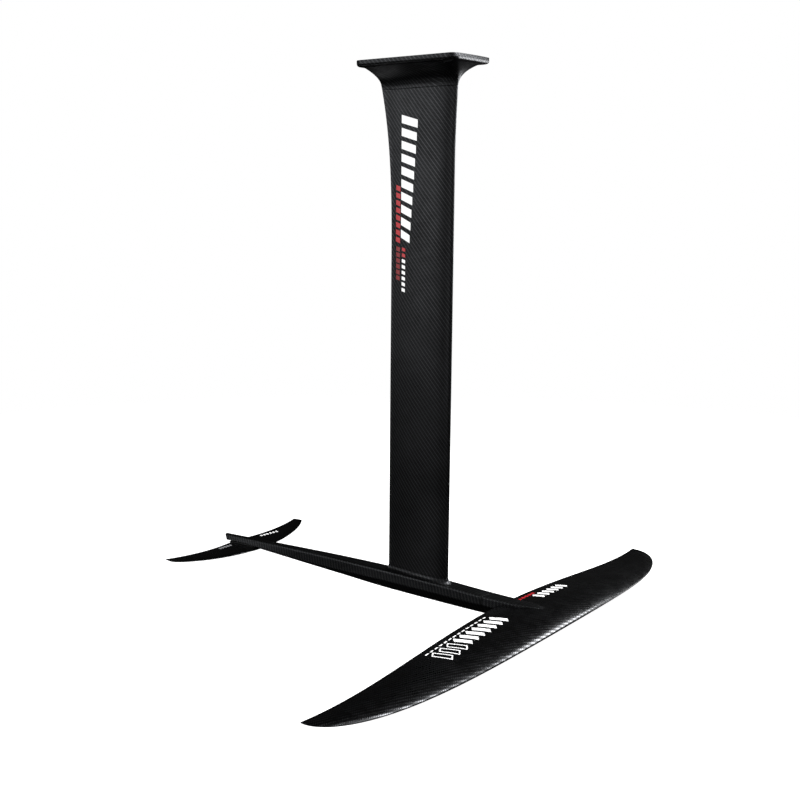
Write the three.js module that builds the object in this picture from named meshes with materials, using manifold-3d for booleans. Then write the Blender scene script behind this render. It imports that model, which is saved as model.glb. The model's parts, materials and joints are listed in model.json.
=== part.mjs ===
// Carbon hydrofoil: top plate, mast, fuselage, front wing and stabiliser.
// Millimetres. +X is forward, +Y is port and +Z is up.
// The origin is the centre of the top plate's upper face, which bolts to a board.

import * as THREE from 'three';
import { mergeVertices } from 'three/addons/utils/BufferGeometryUtils.js';
import Module from 'manifold-3d';

const wasm = await Module();
wasm.setup();

// ---------------------------------------------------------------- driving dimensions

// Clearance between touching pieces, and how far a cutting tool runs past the face that it opens.
const GAP = 0.3;
const OVERRUN = 5;

const PLATE = { length: 196, width: 110, edge: 5, cornerRadius: 12, endHalf: 6, bow: 0.03 };
const SLOT = { width: 8.6, length: 24, spacingX: 150, spacingY: 90, faceZ: -9, washerWidth: 14 };
// Rounded underside of the plate's rim: heights, and the share of the way in to the flare.
const RIM_STEPS = [[-7.5, 0.06], [-9.4, 0.3]];
const HEAD_LEVELS = [-10, -12, -15, -19, -25, -33, -44];
const HEAD_BOTTOM = -44;

const MAST = { middleX: 4, chord: 121, thickness: 15.6, wall: 2.2, edgeHalf: 0.7 };
// Each flare is a sum of curves that fall from their share at the plate's edge to nothing at their depth.
const FLARE_SIDE = [{ share: 1, depth: 42, power: 2.6 }];
const FLARE_REAR = [{ share: 0.75, depth: 330, power: 3 }, { share: 0.25, depth: 30, power: 2 }];
const FLARE_FRONT = [{ share: 0.14, depth: 140, power: 1.2 }, { share: 0.86, depth: 45, power: 2.6 }];
const MAST_LEVELS = [-44, -56, -72, -95, -125, -165, -215, -270, -335];
// Chord shares from the leading edge: the hollow inside the skin, the foam and the two webs.
const CAVITY = { front: 0.04, rear: 0.84 };
const FOAM_SPAN = { front: 0.06, rear: 0.8 };
const WEBS = [0.28, 0.6];
const WEB_THICKNESS = 2;
const CORE_TOP = -130;
const CORE_BOTTOM = -752;

const SPIGOT_TOP = -18;
const SPIGOT_BOTTOM = -122;
const TENON_TOP = -760;
const TENON_BOTTOM = -880;
const TENON = { rear: 0.66, front: 0.2 };
const MAST_FOOT = -856;
const FAIRING = { height: 7, reach: 5.6, lip: 0.5, power: 2.2, steps: [0, 0.25, 0.55, 1] };

const FUSELAGE = { tail: -441, seam: 141, wall: 2.2, hollowFrom: -335, tailSlant: 13, tailTrim: 3 };
const SHOULDER_DROP = { most: 2.2, share: 0.3 };
const TENON_SOCKET_TOP = -840;
const SEAT = { z: -866.2, front: -352 };
const SPIGOT = { rear: 50, front: 212, halfWidth: 9.6, top: -866, bottom: -883, bevel: [3.2, 4.5] };

const WING = {
  halfSpan: 512,
  rootChord: 133.4,
  tipChord: 6,
  narrowing: 0.186,
  tipFullness: 0.2,
  trailingX: 164.3,
  bow: 29.5,
  rootZ: -873.2,
  droop: 22.1,
  rootRise: 1.3,
  twist: 2.2,
  rootThickness: 0.118,
  tipThickness: 0.085,
  camber: 0.026,
  skin: 1.2,
};
const WING_CORE = { from: 22, to: 400, front: 0.08, rear: 0.72, clearance: 0.9 };
const NOSE_END = 288;

const TAILPLANE = {
  halfSpan: 182,
  rootChord: 62.2,
  taper: 37.6,
  tipCut: 4,
  trailingX: -417.2,
  forwardSweep: 40.3,
  backSweep: 45.2,
  rootZ: -865.5,
  rise: 3.6,
  incidence: 5.4,
  thickness: 0.105,
  camber: -0.015,
};
const TAIL_PAD = { rear: -413, front: -358, halfWidth: 9.5, bottom: -873.4 };
const SHIM = { rear: -411, front: -361, halfWidth: 7.5, thickness: 0.9 };

const M8 = { radius: 4, headRadius: 7.6, headHeight: 4.4, socket: 2.9, insertRadius: 5.5 };
const M6 = { radius: 3, headRadius: 5.6, headHeight: 3.3, socket: 2.3, insertRadius: 4.4 };
const WING_SCREWS = { xs: [166, 198], faceZ: -890.4, length: 18, insertLength: 10 };
const TAIL_SCREWS = { xs: [-402, -374], length: 14, insertLength: 7 };
const SOCKET_SHARE = 0.7;
const HEAD_RIM = 0.5;

// ---------------------------------------------------------------- guide curves

// A smooth curve z(x) through a few knots, with slopes taken from the neighbours.
function guide(knots) {
  const slopes = knots.map((knot, i) => {
    const before = knots[Math.max(i - 1, 0)];
    const after = knots[Math.min(i + 1, knots.length - 1)];
    return (after[1] - before[1]) / (after[0] - before[0]);
  });
  return (x) => {
    const last = knots.length - 2;
    let i = 0;
    while (i < last && x > knots[i + 1][0]) {
      i += 1;
    }
    const span = knots[i + 1][0] - knots[i][0];
    const t = THREE.MathUtils.clamp((x - knots[i][0]) / span, 0, 1);
    const rise = knots[i + 1][1] - knots[i][1];
    const a = slopes[i] * span - rise;
    const b = rise - slopes[i + 1] * span;
    return knots[i][1] + t * rise + t * (1 - t) * (a * (1 - t) + b * t);
  };
}

// The fuselage and, ahead of the seam, the wing's centre body share these outlines.
const topLine = guide([[-441, -855.6], [-246, -852.6], [-86, -852.6], [60, -855.9], [141, -859.2],
  [205, -860.4], [250, -861.8], [NOSE_END, -868.6]]);
const keelLine = guide([[-441, -866], [-392, -866.2], [-252, -875.2], [-159, -881.4], [-71, -887],
  [52, -890.3], [141, -891.4], [205, -890.2], [250, -884.5], [NOSE_END, -874.5]]);
const shoulder = guide([[-441, 4.6], [-296, 8.8], [-220, 11.8], [-146, 14.2], [-60, 16.4],
  [141, 16.4], [205, 13.8], [250, 6.6], [NOSE_END, 2]]);
const belly = guide([[-441, 8], [-340, 9.6], [-220, 12.4], [-146, 14.4], [-60, 16.4],
  [141, 16.4], [205, 13.8], [250, 7.4], [NOSE_END, 2]]);
const keel = guide([[-441, 7.6], [-340, 7.6], [-252, 7], [-159, 5], [-71, 4.2],
  [141, 4.2], [205, 3.8], [250, 2.6], [NOSE_END, 1]]);
const chamfer = guide([[-441, 0.8], [-340, 1.6], [-252, 4], [-171, 8], [-56, 16],
  [141, 16], [205, 14.4], [250, 9.6], [NOSE_END, 2]]);

// ---------------------------------------------------------------- mesh helpers

function signedVolume(positions, indices) {
  const a = new THREE.Vector3();
  const b = new THREE.Vector3();
  const c = new THREE.Vector3();
  let sum = 0;
  for (let i = 0; i < indices.length; i += 3) {
    a.fromArray(positions, indices[i] * 3);
    b.fromArray(positions, indices[i + 1] * 3);
    c.fromArray(positions, indices[i + 2] * 3);
    sum += a.dot(b.cross(c));
  }
  return sum / 6;
}

function closedMesh(points, faces) {
  const positions = points.flatMap((p) => [p.x, p.y, p.z]);
  const indices = faces.flat();
  if (signedVolume(positions, indices) < 0) {
    indices.reverse();
  }
  const geometry = new THREE.BufferGeometry();
  geometry.setAttribute('position', new THREE.Float32BufferAttribute(positions, 3));
  geometry.setIndex(indices);
  geometry.computeVertexNormals();
  return geometry;
}

// Joins rings of equal length into a tube; each end is capped flat.
function loft(rings, flatten) {
  const count = rings[0].length;
  const points = rings.flat();
  const faces = [];
  for (let r = 0; r < rings.length - 1; r += 1) {
    for (let i = 0; i < count; i += 1) {
      const j = (i + 1) % count;
      const a = r * count + i;
      const b = r * count + j;
      faces.push([a, b, b + count], [a, b + count, a + count]);
    }
  }
  const cap = (start, side) => {
    const outline = points.slice(start, start + count).map(flatten);
    const turn = side * Math.sign(THREE.ShapeUtils.area(outline));
    for (const [a, b, c] of THREE.ShapeUtils.triangulateShape(outline, [])) {
      const facing = Math.sign(THREE.ShapeUtils.area([outline[a], outline[b], outline[c]]));
      faces.push(facing === turn ? [start + a, start + b, start + c] : [start + a, start + c, start + b]);
    }
  };
  cap(0, -1);
  cap((rings.length - 1) * count, 1);
  return closedMesh(points, faces);
}

const alongX = (p) => new THREE.Vector2(p.y, p.z);
const alongY = (p) => new THREE.Vector2(p.x, p.z);
const alongZ = (p) => new THREE.Vector2(p.x, p.y);

// Sweeps a closed loop of small sections round a closed path.
function ringSweep(sections) {
  const count = sections[0].length;
  const points = sections.flat();
  const faces = [];
  sections.forEach((_, s) => {
    const next = (s + 1) % sections.length;
    for (let i = 0; i < count; i += 1) {
      const j = (i + 1) % count;
      const [a, b] = [s * count + i, s * count + j];
      const [c, d] = [next * count + i, next * count + j];
      faces.push([a, b, d], [a, d, c]);
    }
  });
  return closedMesh(points, faces);
}

function solid(geometry) {
  let bare = geometry.clone();
  bare.deleteAttribute('normal');
  bare.deleteAttribute('uv');
  bare = mergeVertices(bare, 1e-4);
  return new wasm.Manifold(new wasm.Mesh({
    numProp: 3,
    vertProperties: new Float32Array(bare.attributes.position.array),
    triVerts: new Uint32Array(bare.index.array),
  }));
}

function surface(manifold) {
  const mesh = manifold.getMesh();
  const geometry = new THREE.BufferGeometry();
  geometry.setAttribute('position', new THREE.BufferAttribute(new Float32Array(mesh.vertProperties), 3));
  geometry.setIndex(new THREE.BufferAttribute(new Uint32Array(mesh.triVerts), 1));
  geometry.computeVertexNormals();
  return geometry;
}

function cut(geometry, ...tools) {
  return surface(tools.reduce((body, tool) => body.subtract(solid(tool)), solid(geometry)));
}

function box(x0, x1, y0, y1, z0, z1) {
  const geometry = new THREE.BoxGeometry(x1 - x0, y1 - y0, z1 - z0);
  return geometry.translate((x0 + x1) / 2, (y0 + y1) / 2, (z0 + z1) / 2);
}

function post(radius, z0, z1, x, segments = 20) {
  const geometry = new THREE.CylinderGeometry(radius, radius, z1 - z0, segments);
  return geometry.rotateX(Math.PI / 2).translate(x, 0, (z0 + z1) / 2);
}

// ---------------------------------------------------------------- foil sections

// Half thickness of a four-digit foil section, per unit of chord, at u from the leading edge.
function halfThickness(u, ratio) {
  const root = 0.2969 * Math.sqrt(u);
  return 5 * ratio * (root + u * (-0.126 + u * (-0.3516 + u * (0.2843 - 0.1036 * u))));
}

function camberLine(u, camber) {
  const peak = 0.4;
  const side = u < peak ? peak : 1 - peak;
  const t = u < peak ? u / side : (1 - u) / side;
  return camber * t * (2 - t);
}

// Chord stations from leading edge to trailing edge, packed closer at the leading edge.
function chordStations(count, from = 0, to = 1) {
  return Array.from({ length: count + 1 }, (_, i) => {
    const bunched = 1 - Math.cos((Math.PI / 2) * (i / count));
    return from + (to - from) * bunched ** 1.15;
  });
}

// ---------------------------------------------------------------- mast and its head

// Points along the plate's port edge: the two ends, two corner arcs and the side between them.
const ARC_STEPS = 4;
const SIDE_STEPS = 7;
const OUTLINE_STEPS = 2 * (ARC_STEPS + 1) + SIDE_STEPS;

const MAST_STATIONS = Array.from({ length: OUTLINE_STEPS + 1 }, (_, i) => (
  (1 - Math.cos((Math.PI * i) / OUTLINE_STEPS)) / 2
));

const MIN_MAST_HALF = 0.4;

function mastHalf(u) {
  return Math.max(MAST.chord * halfThickness(u, MAST.thickness / MAST.chord), MAST.edgeHalf);
}

// The mast's outline: down the port side from the leading edge, back up the starboard side.
function mastOutline(inset = 0, stations = MAST_STATIONS) {
  const front = MAST.middleX + MAST.chord / 2;
  const side = stations.map((u) => (
    new THREE.Vector2(front - u * MAST.chord, Math.max(mastHalf(u) - inset, MIN_MAST_HALF))
  ));
  const back = side.map((p) => new THREE.Vector2(p.x, -p.y)).reverse();
  return [...side, ...back];
}

// The plate's outline, with one point for each point of the mast's outline.
function plateOutline() {
  const { length, width, cornerRadius: r, endHalf, bow } = PLATE;
  const centre = new THREE.Vector2(length / 2 - r, width / 2 - r);
  const arc = (sign, angle) => (
    new THREE.Vector2(sign * (centre.x + r * Math.cos(angle)), centre.y + r * Math.sin(angle))
  );
  const angles = Array.from({ length: ARC_STEPS + 1 }, (_, i) => (Math.PI / 2) * (i / ARC_STEPS));
  const straight = Array.from({ length: SIDE_STEPS - 1 }, (_, i) => (
    new THREE.Vector2(centre.x * (1 - (2 * (i + 1)) / SIDE_STEPS), width / 2)
  ));
  const side = [
    new THREE.Vector2(length / 2, endHalf),
    ...angles.map((angle) => arc(1, angle)),
    ...straight,
    ...angles.map((angle) => arc(-1, angle)).reverse(),
    new THREE.Vector2(-length / 2, endHalf),
  ];
  side.forEach((p) => p.setX(p.x * (1 - bow * (p.y / (width / 2)) ** 2)));
  const back = side.map((p) => new THREE.Vector2(p.x, -p.y)).reverse();
  return [...side, ...back];
}

// How far a flare has opened from the mast's section (0) to the plate's edge (1).
function flareShare(terms, z) {
  const depth = -z - PLATE.edge;
  const opening = (term) => term.share * Math.max(1 - depth / term.depth, 0) ** term.power;
  return terms.reduce((sum, term) => sum + opening(term), 0);
}

function stationX(u) {
  return MAST.middleX + MAST.chord / 2 - u * MAST.chord;
}

// The mast's sides open late and tightly; its rear edge sweeps back from far below the plate.
function flaredRing(z) {
  const edges = plateOutline();
  const side = flareShare(FLARE_SIDE, z);
  const rearSlide = (flareShare(FLARE_REAR, z) - side) * (-PLATE.length / 2 - stationX(1));
  const frontSlide = (flareShare(FLARE_FRONT, z) - side) * (PLATE.length / 2 - stationX(0));
  return mastOutline().map((p, i) => {
    const u = (stationX(0) - p.x) / MAST.chord;
    const slide = rearSlide * u ** 3 + frontSlide * (1 - u) ** 3;
    return new THREE.Vector3(
      THREE.MathUtils.lerp(p.x, edges[i].x, side) + slide,
      THREE.MathUtils.lerp(p.y, edges[i].y, side),
      z,
    );
  });
}

// Rings of the plate's rim, from its upper face to where the flare starts.
function rimRings() {
  const edges = plateOutline();
  const inner = flaredRing(HEAD_LEVELS[0]);
  const ring = ([z, share]) => edges.map((p, i) => new THREE.Vector3(
    THREE.MathUtils.lerp(p.x, inner[i].x, share),
    THREE.MathUtils.lerp(p.y, inner[i].y, share),
    z,
  ));
  return [[0, 0], [-PLATE.edge, 0], ...RIM_STEPS].map(ring);
}

function mastRing(outline, z) {
  return outline.map((p) => new THREE.Vector3(p.x, p.y, z));
}

const CAVITY_STATIONS = chordStations(7, CAVITY.front, CAVITY.rear);

function stadium(width, length, z0, z1, x, y) {
  const r = width / 2;
  const half = length / 2 - r;
  const shape = new THREE.Shape();
  shape.absarc(half, 0, r, -Math.PI / 2, Math.PI / 2, false);
  shape.absarc(-half, 0, r, Math.PI / 2, Math.PI * 1.5, false);
  const settings = { depth: z1 - z0, bevelEnabled: false, curveSegments: 8 };
  const geometry = new THREE.ExtrudeGeometry(shape, settings);
  return geometry.translate(x, y, z0);
}

function mastHead() {
  const rings = [...rimRings(), ...HEAD_LEVELS.map((z) => flaredRing(z))];
  const tools = [mastPlug(GAP, HEAD_BOTTOM - OVERRUN, SPIGOT_TOP + GAP)];
  for (const sx of [-1, 1]) {
    for (const sy of [-1, 1]) {
      const [x, y] = [sx * SLOT.spacingX / 2, sy * SLOT.spacingY / 2];
      const face = SLOT.washerWidth;
      const low = HEAD_BOTTOM - OVERRUN;
      tools.push(stadium(SLOT.width, SLOT.length, low, OVERRUN, x, y));
      tools.push(stadium(face, SLOT.length + face - SLOT.width, low, SLOT.faceZ, x, y));
    }
  }
  return cut(loft(rings, alongZ), ...tools);
}

// Foil-shaped plug that ties the mast's skin to a neighbour; grow adds running room round it.
function mastPlug(grow, z0, z1) {
  const outline = mastOutline(MAST.wall + 2 * GAP - grow, chordStations(6, TENON.front, TENON.rear));
  return loft([z0, z1].map((z) => mastRing(outline, z)), alongZ);
}

function mastSkin() {
  const flared = MAST_LEVELS.map((z) => flaredRing(z - GAP));
  const outer = loft([...flared, mastRing(mastOutline(), MAST_FOOT - OVERRUN)], alongZ);
  const hollow = mastOutline(MAST.wall, CAVITY_STATIONS);
  const ends = [HEAD_BOTTOM + OVERRUN, MAST_FOOT - 2 * OVERRUN];
  const inner = loft(ends.map((z) => mastRing(hollow, z)), alongZ);
  return cut(outer, inner, fuselageOuter(GAP));
}

function mastWeb(u) {
  const x = stationX(u);
  const half = Math.min(mastHalf(u - 0.01), mastHalf(u + 0.01)) - MAST.wall - GAP;
  return box(x - WEB_THICKNESS / 2, x + WEB_THICKNESS / 2, -half, half, CORE_BOTTOM, CORE_TOP);
}

function mastCore(from, to) {
  const outline = mastOutline(MAST.wall + GAP, chordStations(5, from, to));
  return loft([CORE_BOTTOM, CORE_TOP].map((z) => mastRing(outline, z)), alongZ);
}

// Concave fillet moulded round the mast where it meets the fuselage.
function mastFootFairing() {
  const outline = mastOutline();
  const { height, reach, lip, power, steps } = FAIRING;
  const sections = outline.map((p, i) => {
    const before = outline[(i + outline.length - 1) % outline.length];
    const after = outline[(i + 1) % outline.length];
    const normal = new THREE.Vector2(-(after.y - before.y), after.x - before.x).normalize().negate();
    if (normal.dot(new THREE.Vector2(p.x - MAST.middleX, p.y)) < 0) {
      normal.negate();
    }
    const at = (out, up) => {
      const x = p.x + normal.x * out;
      return new THREE.Vector3(x, p.y + normal.y * out, topLine(x) + GAP + up);
    };
    const curve = steps.map((t) => at(GAP + lip + reach * (1 - t) ** power, height * t));
    return [at(GAP, 0), ...curve, at(GAP, height)];
  });
  return ringSweep(sections);
}

// ---------------------------------------------------------------- fuselage

function fuselageRing(x, grow = 0) {
  const shoulderDrop = Math.min(SHOULDER_DROP.most, shoulder(x) * SHOULDER_DROP.share);
  const top = topLine(x);
  const bottom = keelLine(x);
  const slide = grow * Math.tan(Math.PI / 8);
  const half = [
    [shoulder(x) - shoulderDrop + slide, top + grow],
    [shoulder(x) + grow, top - shoulderDrop + slide],
    [belly(x) + grow, bottom + chamfer(x) - slide],
    [keel(x) + slide, bottom - grow],
  ];
  const port = half.map(([y, z]) => new THREE.Vector3(x, y, z));
  const starboard = half.map(([y, z]) => new THREE.Vector3(x, -y, z)).reverse();
  return [...port, ...starboard];
}

function spread(from, to, count) {
  return Array.from({ length: count + 1 }, (_, i) => from + (to - from) * (i / count));
}

function fuselageOuter(grow = 0) {
  const xs = spread(FUSELAGE.tail, FUSELAGE.seam, 16);
  return loft(xs.map((x) => fuselageRing(x, grow)), alongX);
}

// Wedge beyond the slanting cut across the tail.
function tailCut() {
  const { tail, tailSlant, tailTrim } = FUSELAGE;
  const [high, low] = [topLine(tail) + OVERRUN, keelLine(tail) - OVERRUN];
  const behind = tail - 2 * OVERRUN;
  const width = 6 * shoulder(tail);
  const shape = new THREE.Shape();
  shape.moveTo(behind, high);
  shape.lineTo(tail - tailTrim, high);
  shape.lineTo(tail + tailSlant, low);
  shape.lineTo(behind, low);
  const geometry = new THREE.ExtrudeGeometry(shape, { depth: width, bevelEnabled: false });
  return geometry.translate(0, 0, -width / 2).rotateX(Math.PI / 2);
}

function fuselageShell() {
  const cavity = spread(FUSELAGE.hollowFrom, FUSELAGE.seam + OVERRUN, 9);
  const hollow = loft(cavity.map((x) => fuselageRing(x, -FUSELAGE.wall)), alongX);
  const sides = 2 * shoulder(SEAT.front);
  const seatLow = keelLine(SEAT.front) - OVERRUN;
  const seat = box(FUSELAGE.tail - OVERRUN, SEAT.front, -sides, sides, seatLow, SEAT.z);
  const holeTop = SEAT.z + TAIL_SCREWS.insertLength + 1;
  const holes = TAIL_SCREWS.xs.map((x) => post(M6.insertRadius + GAP, SEAT.z - 2, holeTop, x));
  const socket = mastPlug(GAP, TENON_BOTTOM, TENON_SOCKET_TOP);
  return cut(fuselageOuter(), hollow, seat, tailCut(), socket, ...holes);
}

function fuselageCore() {
  const rear = FUSELAGE.hollowFrom + 1;
  const front = stationX(TENON.rear) - 2;
  const inset = -FUSELAGE.wall - GAP;
  return loft(spread(rear, front, 6).map((x) => fuselageRing(x, inset)), alongX);
}

// Solid bar that fills the fuselage's front and carries the front wing.
function wingSpigot() {
  const { rear, front, halfWidth, top, bottom, bevel } = SPIGOT;
  const shape = new THREE.Shape();
  shape.moveTo(-halfWidth + bevel[0], bottom);
  shape.lineTo(halfWidth - bevel[0], bottom);
  shape.lineTo(halfWidth, bottom + bevel[1]);
  shape.lineTo(halfWidth, top);
  shape.lineTo(-halfWidth, top);
  shape.lineTo(-halfWidth, bottom + bevel[1]);
  const bar = new THREE.ExtrudeGeometry(shape, { depth: front - rear, bevelEnabled: false });
  bar.rotateX(Math.PI / 2).rotateZ(Math.PI / 2).translate(rear, 0, 0);
  const holeTop = bottom + WING_SCREWS.insertLength + 1;
  const holes = WING_SCREWS.xs.map((x) => post(M8.insertRadius + GAP, bottom - 2, holeTop, x));
  return cut(bar, ...holes);
}

// ---------------------------------------------------------------- front wing

function wingStation(share) {
  const t = Math.abs(share);
  const fullness = 1 - WING.narrowing * t ** 2 + WING.tipFullness * t ** 4;
  const ellipse = Math.sqrt(Math.max(1 - t * t, 0));
  const trailingZ = WING.rootZ - WING.droop * t ** 2 * (2 - t ** 2);
  return {
    y: WING.halfSpan * share,
    chord: WING.rootChord * ellipse * fullness + WING.tipChord * t ** 8,
    trailingX: WING.trailingX + WING.bow * t ** 2 * (1 - t ** 2),
    trailingZ,
    leadingZ: trailingZ + WING.rootRise - WING.twist * t ** 2,
    thickness: THREE.MathUtils.lerp(WING.rootThickness, WING.tipThickness, t),
    camber: WING.camber,
  };
}

function tailStation(share) {
  const t = Math.abs(share);
  const { rootChord, taper, tipCut, trailingX, forwardSweep, backSweep } = TAILPLANE;
  const trailingZ = TAILPLANE.rootZ + TAILPLANE.rise * t ** 2;
  return {
    y: TAILPLANE.halfSpan * share,
    chord: rootChord - taper * t - tipCut * t ** 10,
    trailingX: trailingX + forwardSweep * t - backSweep * t ** 2,
    trailingZ,
    leadingZ: trailingZ - TAILPLANE.incidence * Math.sqrt(Math.max(1 - t * t, 0)),
    thickness: TAILPLANE.thickness,
    camber: TAILPLANE.camber,
  };
}

const MIN_HALF = 0.45;
const MIN_SKIN = 0.3;

// Point at chord share u of a station, lifted by offset from the camber line.
function foilPoint(station, u, offset) {
  const x = station.trailingX + (1 - u) * station.chord;
  const chordZ = THREE.MathUtils.lerp(station.leadingZ, station.trailingZ, u);
  return new THREE.Vector3(x, station.y, chordZ + station.chord * camberLine(u, station.camber) + offset);
}

function stationHalf(station, u) {
  return Math.max(station.chord * halfThickness(u, station.thickness), MIN_HALF);
}

// Span shares from tip to tip, closer together near the tips.
function spanShares(count) {
  return Array.from({ length: 2 * count + 1 }, (_, i) => Math.sin((Math.PI / 2) * ((i - count) / count)));
}

const WING_STATIONS = chordStations(9);

function wingSkin(side) {
  const rings = spanShares(11).map((share) => {
    const station = wingStation(share);
    const outer = WING_STATIONS.map((u) => foilPoint(station, u, side * stationHalf(station, u)));
    const inner = WING_STATIONS.map((u) => {
      const half = stationHalf(station, u);
      return foilPoint(station, u, side * Math.min(half - MIN_SKIN, Math.max(half - WING.skin, GAP / 2)));
    });
    return [...outer, ...inner.reverse()];
  });
  return cut(loft(rings, alongY), centreOuter(GAP));
}

function wingCore(side) {
  const { from, to, front, rear, clearance } = WING_CORE;
  const stations = chordStations(7, front, rear);
  const rings = spread(from, to, 9).map((y) => {
    const station = wingStation((side * y) / WING.halfSpan);
    const lift = (u) => stationHalf(station, u) - WING.skin - clearance;
    const upper = stations.map((u) => foilPoint(station, u, lift(u)));
    const lower = stations.map((u) => foilPoint(station, u, -lift(u))).reverse();
    return [...upper, ...lower];
  });
  return cut(loft(rings, alongY), centreOuter(GAP));
}

function centreOuter(grow = 0) {
  const rear = FUSELAGE.seam + GAP;
  const xs = spread(rear - grow, NOSE_END + grow, 9);
  return loft(xs.map((x) => fuselageRing(x, grow)), alongX);
}

// Centre body of the front wing, with the socket that slides over the fuselage's spigot.
function wingCentre() {
  const { front, halfWidth, top, bottom } = SPIGOT;
  const side = halfWidth + GAP;
  const rear = FUSELAGE.seam - OVERRUN;
  const socket = box(rear, front + GAP, -side, side, bottom - GAP, top + GAP);
  const { headRadius, headHeight, radius } = M8;
  const { faceZ } = WING_SCREWS;
  const holes = WING_SCREWS.xs.flatMap((x) => [
    post(radius + GAP, faceZ - OVERRUN, bottom + 1, x),
    screwCone(headRadius + GAP, radius + GAP, faceZ - OVERRUN, faceZ + headHeight + GAP, headHeight, x),
  ]);
  return cut(centreOuter(), socket, ...holes);
}

// ---------------------------------------------------------------- stabiliser

const TAIL_STATIONS = chordStations(8);

function stabiliser() {
  const rings = spanShares(9).map((share) => {
    const station = tailStation(share);
    const upper = TAIL_STATIONS.map((u) => foilPoint(station, u, stationHalf(station, u)));
    const lower = TAIL_STATIONS.map((u) => foilPoint(station, u, -stationHalf(station, u))).reverse();
    return [...upper, ...lower];
  });
  const { rear, front, halfWidth, bottom } = TAIL_PAD;
  const padTop = SEAT.z - GAP - SHIM.thickness - GAP;
  const pad = box(rear, front, -halfWidth, halfWidth, bottom, padTop);
  const side = halfWidth + GAP;
  const room = box(rear - OVERRUN, SEAT.front + 2, -side, side, padTop, padTop + 2 * OVERRUN);
  const blank = solid(loft(rings, alongY)).add(solid(pad));
  const { radius, headRadius, headHeight } = M6;
  const holes = TAIL_SCREWS.xs.flatMap((x) => [
    post(radius + GAP, bottom - OVERRUN, padTop + 1, x),
    screwCone(headRadius + GAP, radius + GAP, bottom - OVERRUN, bottom + headHeight + GAP, headHeight, x),
  ]);
  return cut(surface(blank), room, ...holes);
}

function stabiliserShim() {
  const top = SEAT.z - GAP;
  const plate = box(SHIM.rear, SHIM.front, -SHIM.halfWidth, SHIM.halfWidth, top - SHIM.thickness, top);
  const hole = (x) => post(M6.radius + GAP, top - OVERRUN, top + OVERRUN, x);
  return cut(plate, ...TAIL_SCREWS.xs.map(hole));
}

// ---------------------------------------------------------------- screws and inserts

function lathe(profile, x, segments = 20) {
  const points = profile.map(([r, z]) => new THREE.Vector2(r, z));
  const geometry = new THREE.LatheGeometry(points, segments);
  return geometry.rotateX(Math.PI / 2).translate(x, 0, 0);
}

// Countersink: full radius from z0, then a cone of the given height that ends at z1.
function screwCone(wide, narrow, z0, z1, height, x) {
  return lathe([[0, z0], [wide, z0], [wide, z1 - height], [narrow, z1], [0, z1]], x);
}

// Countersunk screw with a hexagon socket, its head at the bottom.
function screw(size, headZ, length, x) {
  const { radius, headRadius, headHeight, socket } = size;
  const tip = headZ + length;
  const socketTop = headZ + headHeight * SOCKET_SHARE;
  const head = [[0, headZ], [headRadius, headZ], [headRadius, headZ + HEAD_RIM]];
  const shank = [[radius, headZ + headHeight], [radius, tip - 1], [radius - 1, tip], [0, tip]];
  const profile = [...head, ...shank];
  const hexagon = post(socket / Math.cos(Math.PI / 6), headZ - 1, socketTop, x, 6);
  return cut(lathe(profile, x), hexagon);
}

function insert(size, z0, length, x) {
  const [inner, outer] = [size.radius + GAP, size.insertRadius];
  const z1 = z0 + length;
  return lathe([[inner, z0], [outer, z0], [outer, z1], [inner, z1], [inner, z0]], x);
}

// ---------------------------------------------------------------- finishes

const finish = (color, roughness, metalness = 0) => ({ color, roughness, metalness });
const CARBON = finish(0x1d1e20, 0.38);
const GLOSS_CARBON = finish(0x141516, 0.22);
const RAW_CARBON = finish(0x26272a, 0.6);
const FOAM = finish(0xd9c9a3, 0.9);
const STEEL = finish(0xb9bcc0, 0.3, 1);
const BRASS = finish(0xb8964a, 0.35, 1);
const NYLON = finish(0x2b2c2e, 0.55);

// ---------------------------------------------------------------- assembly

const group = new THREE.Group();

function add(name, geometry, look) {
  const mesh = new THREE.Mesh(geometry, new THREE.MeshStandardMaterial(look));
  mesh.name = name;
  group.add(mesh);
}

add('mast_head', mastHead(), CARBON);
add('mast_head_spigot', mastPlug(0, SPIGOT_BOTTOM, SPIGOT_TOP), RAW_CARBON);
add('mast_skin', mastSkin(), CARBON);
add('mast_web_front', mastWeb(WEBS[0]), RAW_CARBON);
add('mast_web_rear', mastWeb(WEBS[1]), RAW_CARBON);

const clear = (WEB_THICKNESS / 2 + GAP) / MAST.chord;
add('mast_core_front', mastCore(FOAM_SPAN.front, WEBS[0] - clear), FOAM);
add('mast_core_middle', mastCore(WEBS[0] + clear, WEBS[1] - clear), FOAM);
add('mast_core_rear', mastCore(WEBS[1] + clear, FOAM_SPAN.rear), FOAM);
add('mast_foot_tenon', mastPlug(0, TENON_BOTTOM + 2, TENON_TOP), RAW_CARBON);
add('mast_foot_fairing', mastFootFairing(), CARBON);

add('fuselage_shell', fuselageShell(), CARBON);
add('fuselage_core', fuselageCore(), FOAM);
add('wing_spigot', wingSpigot(), RAW_CARBON);

add('front_wing_upper_skin', wingSkin(1), GLOSS_CARBON);
add('front_wing_lower_skin', wingSkin(-1), GLOSS_CARBON);
add('front_wing_core_port', wingCore(1), FOAM);
add('front_wing_core_starboard', wingCore(-1), FOAM);
add('front_wing_centre', wingCentre(), GLOSS_CARBON);

add('stabiliser', stabiliser(), GLOSS_CARBON);
add('stabiliser_shim', stabiliserShim(), NYLON);

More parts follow.
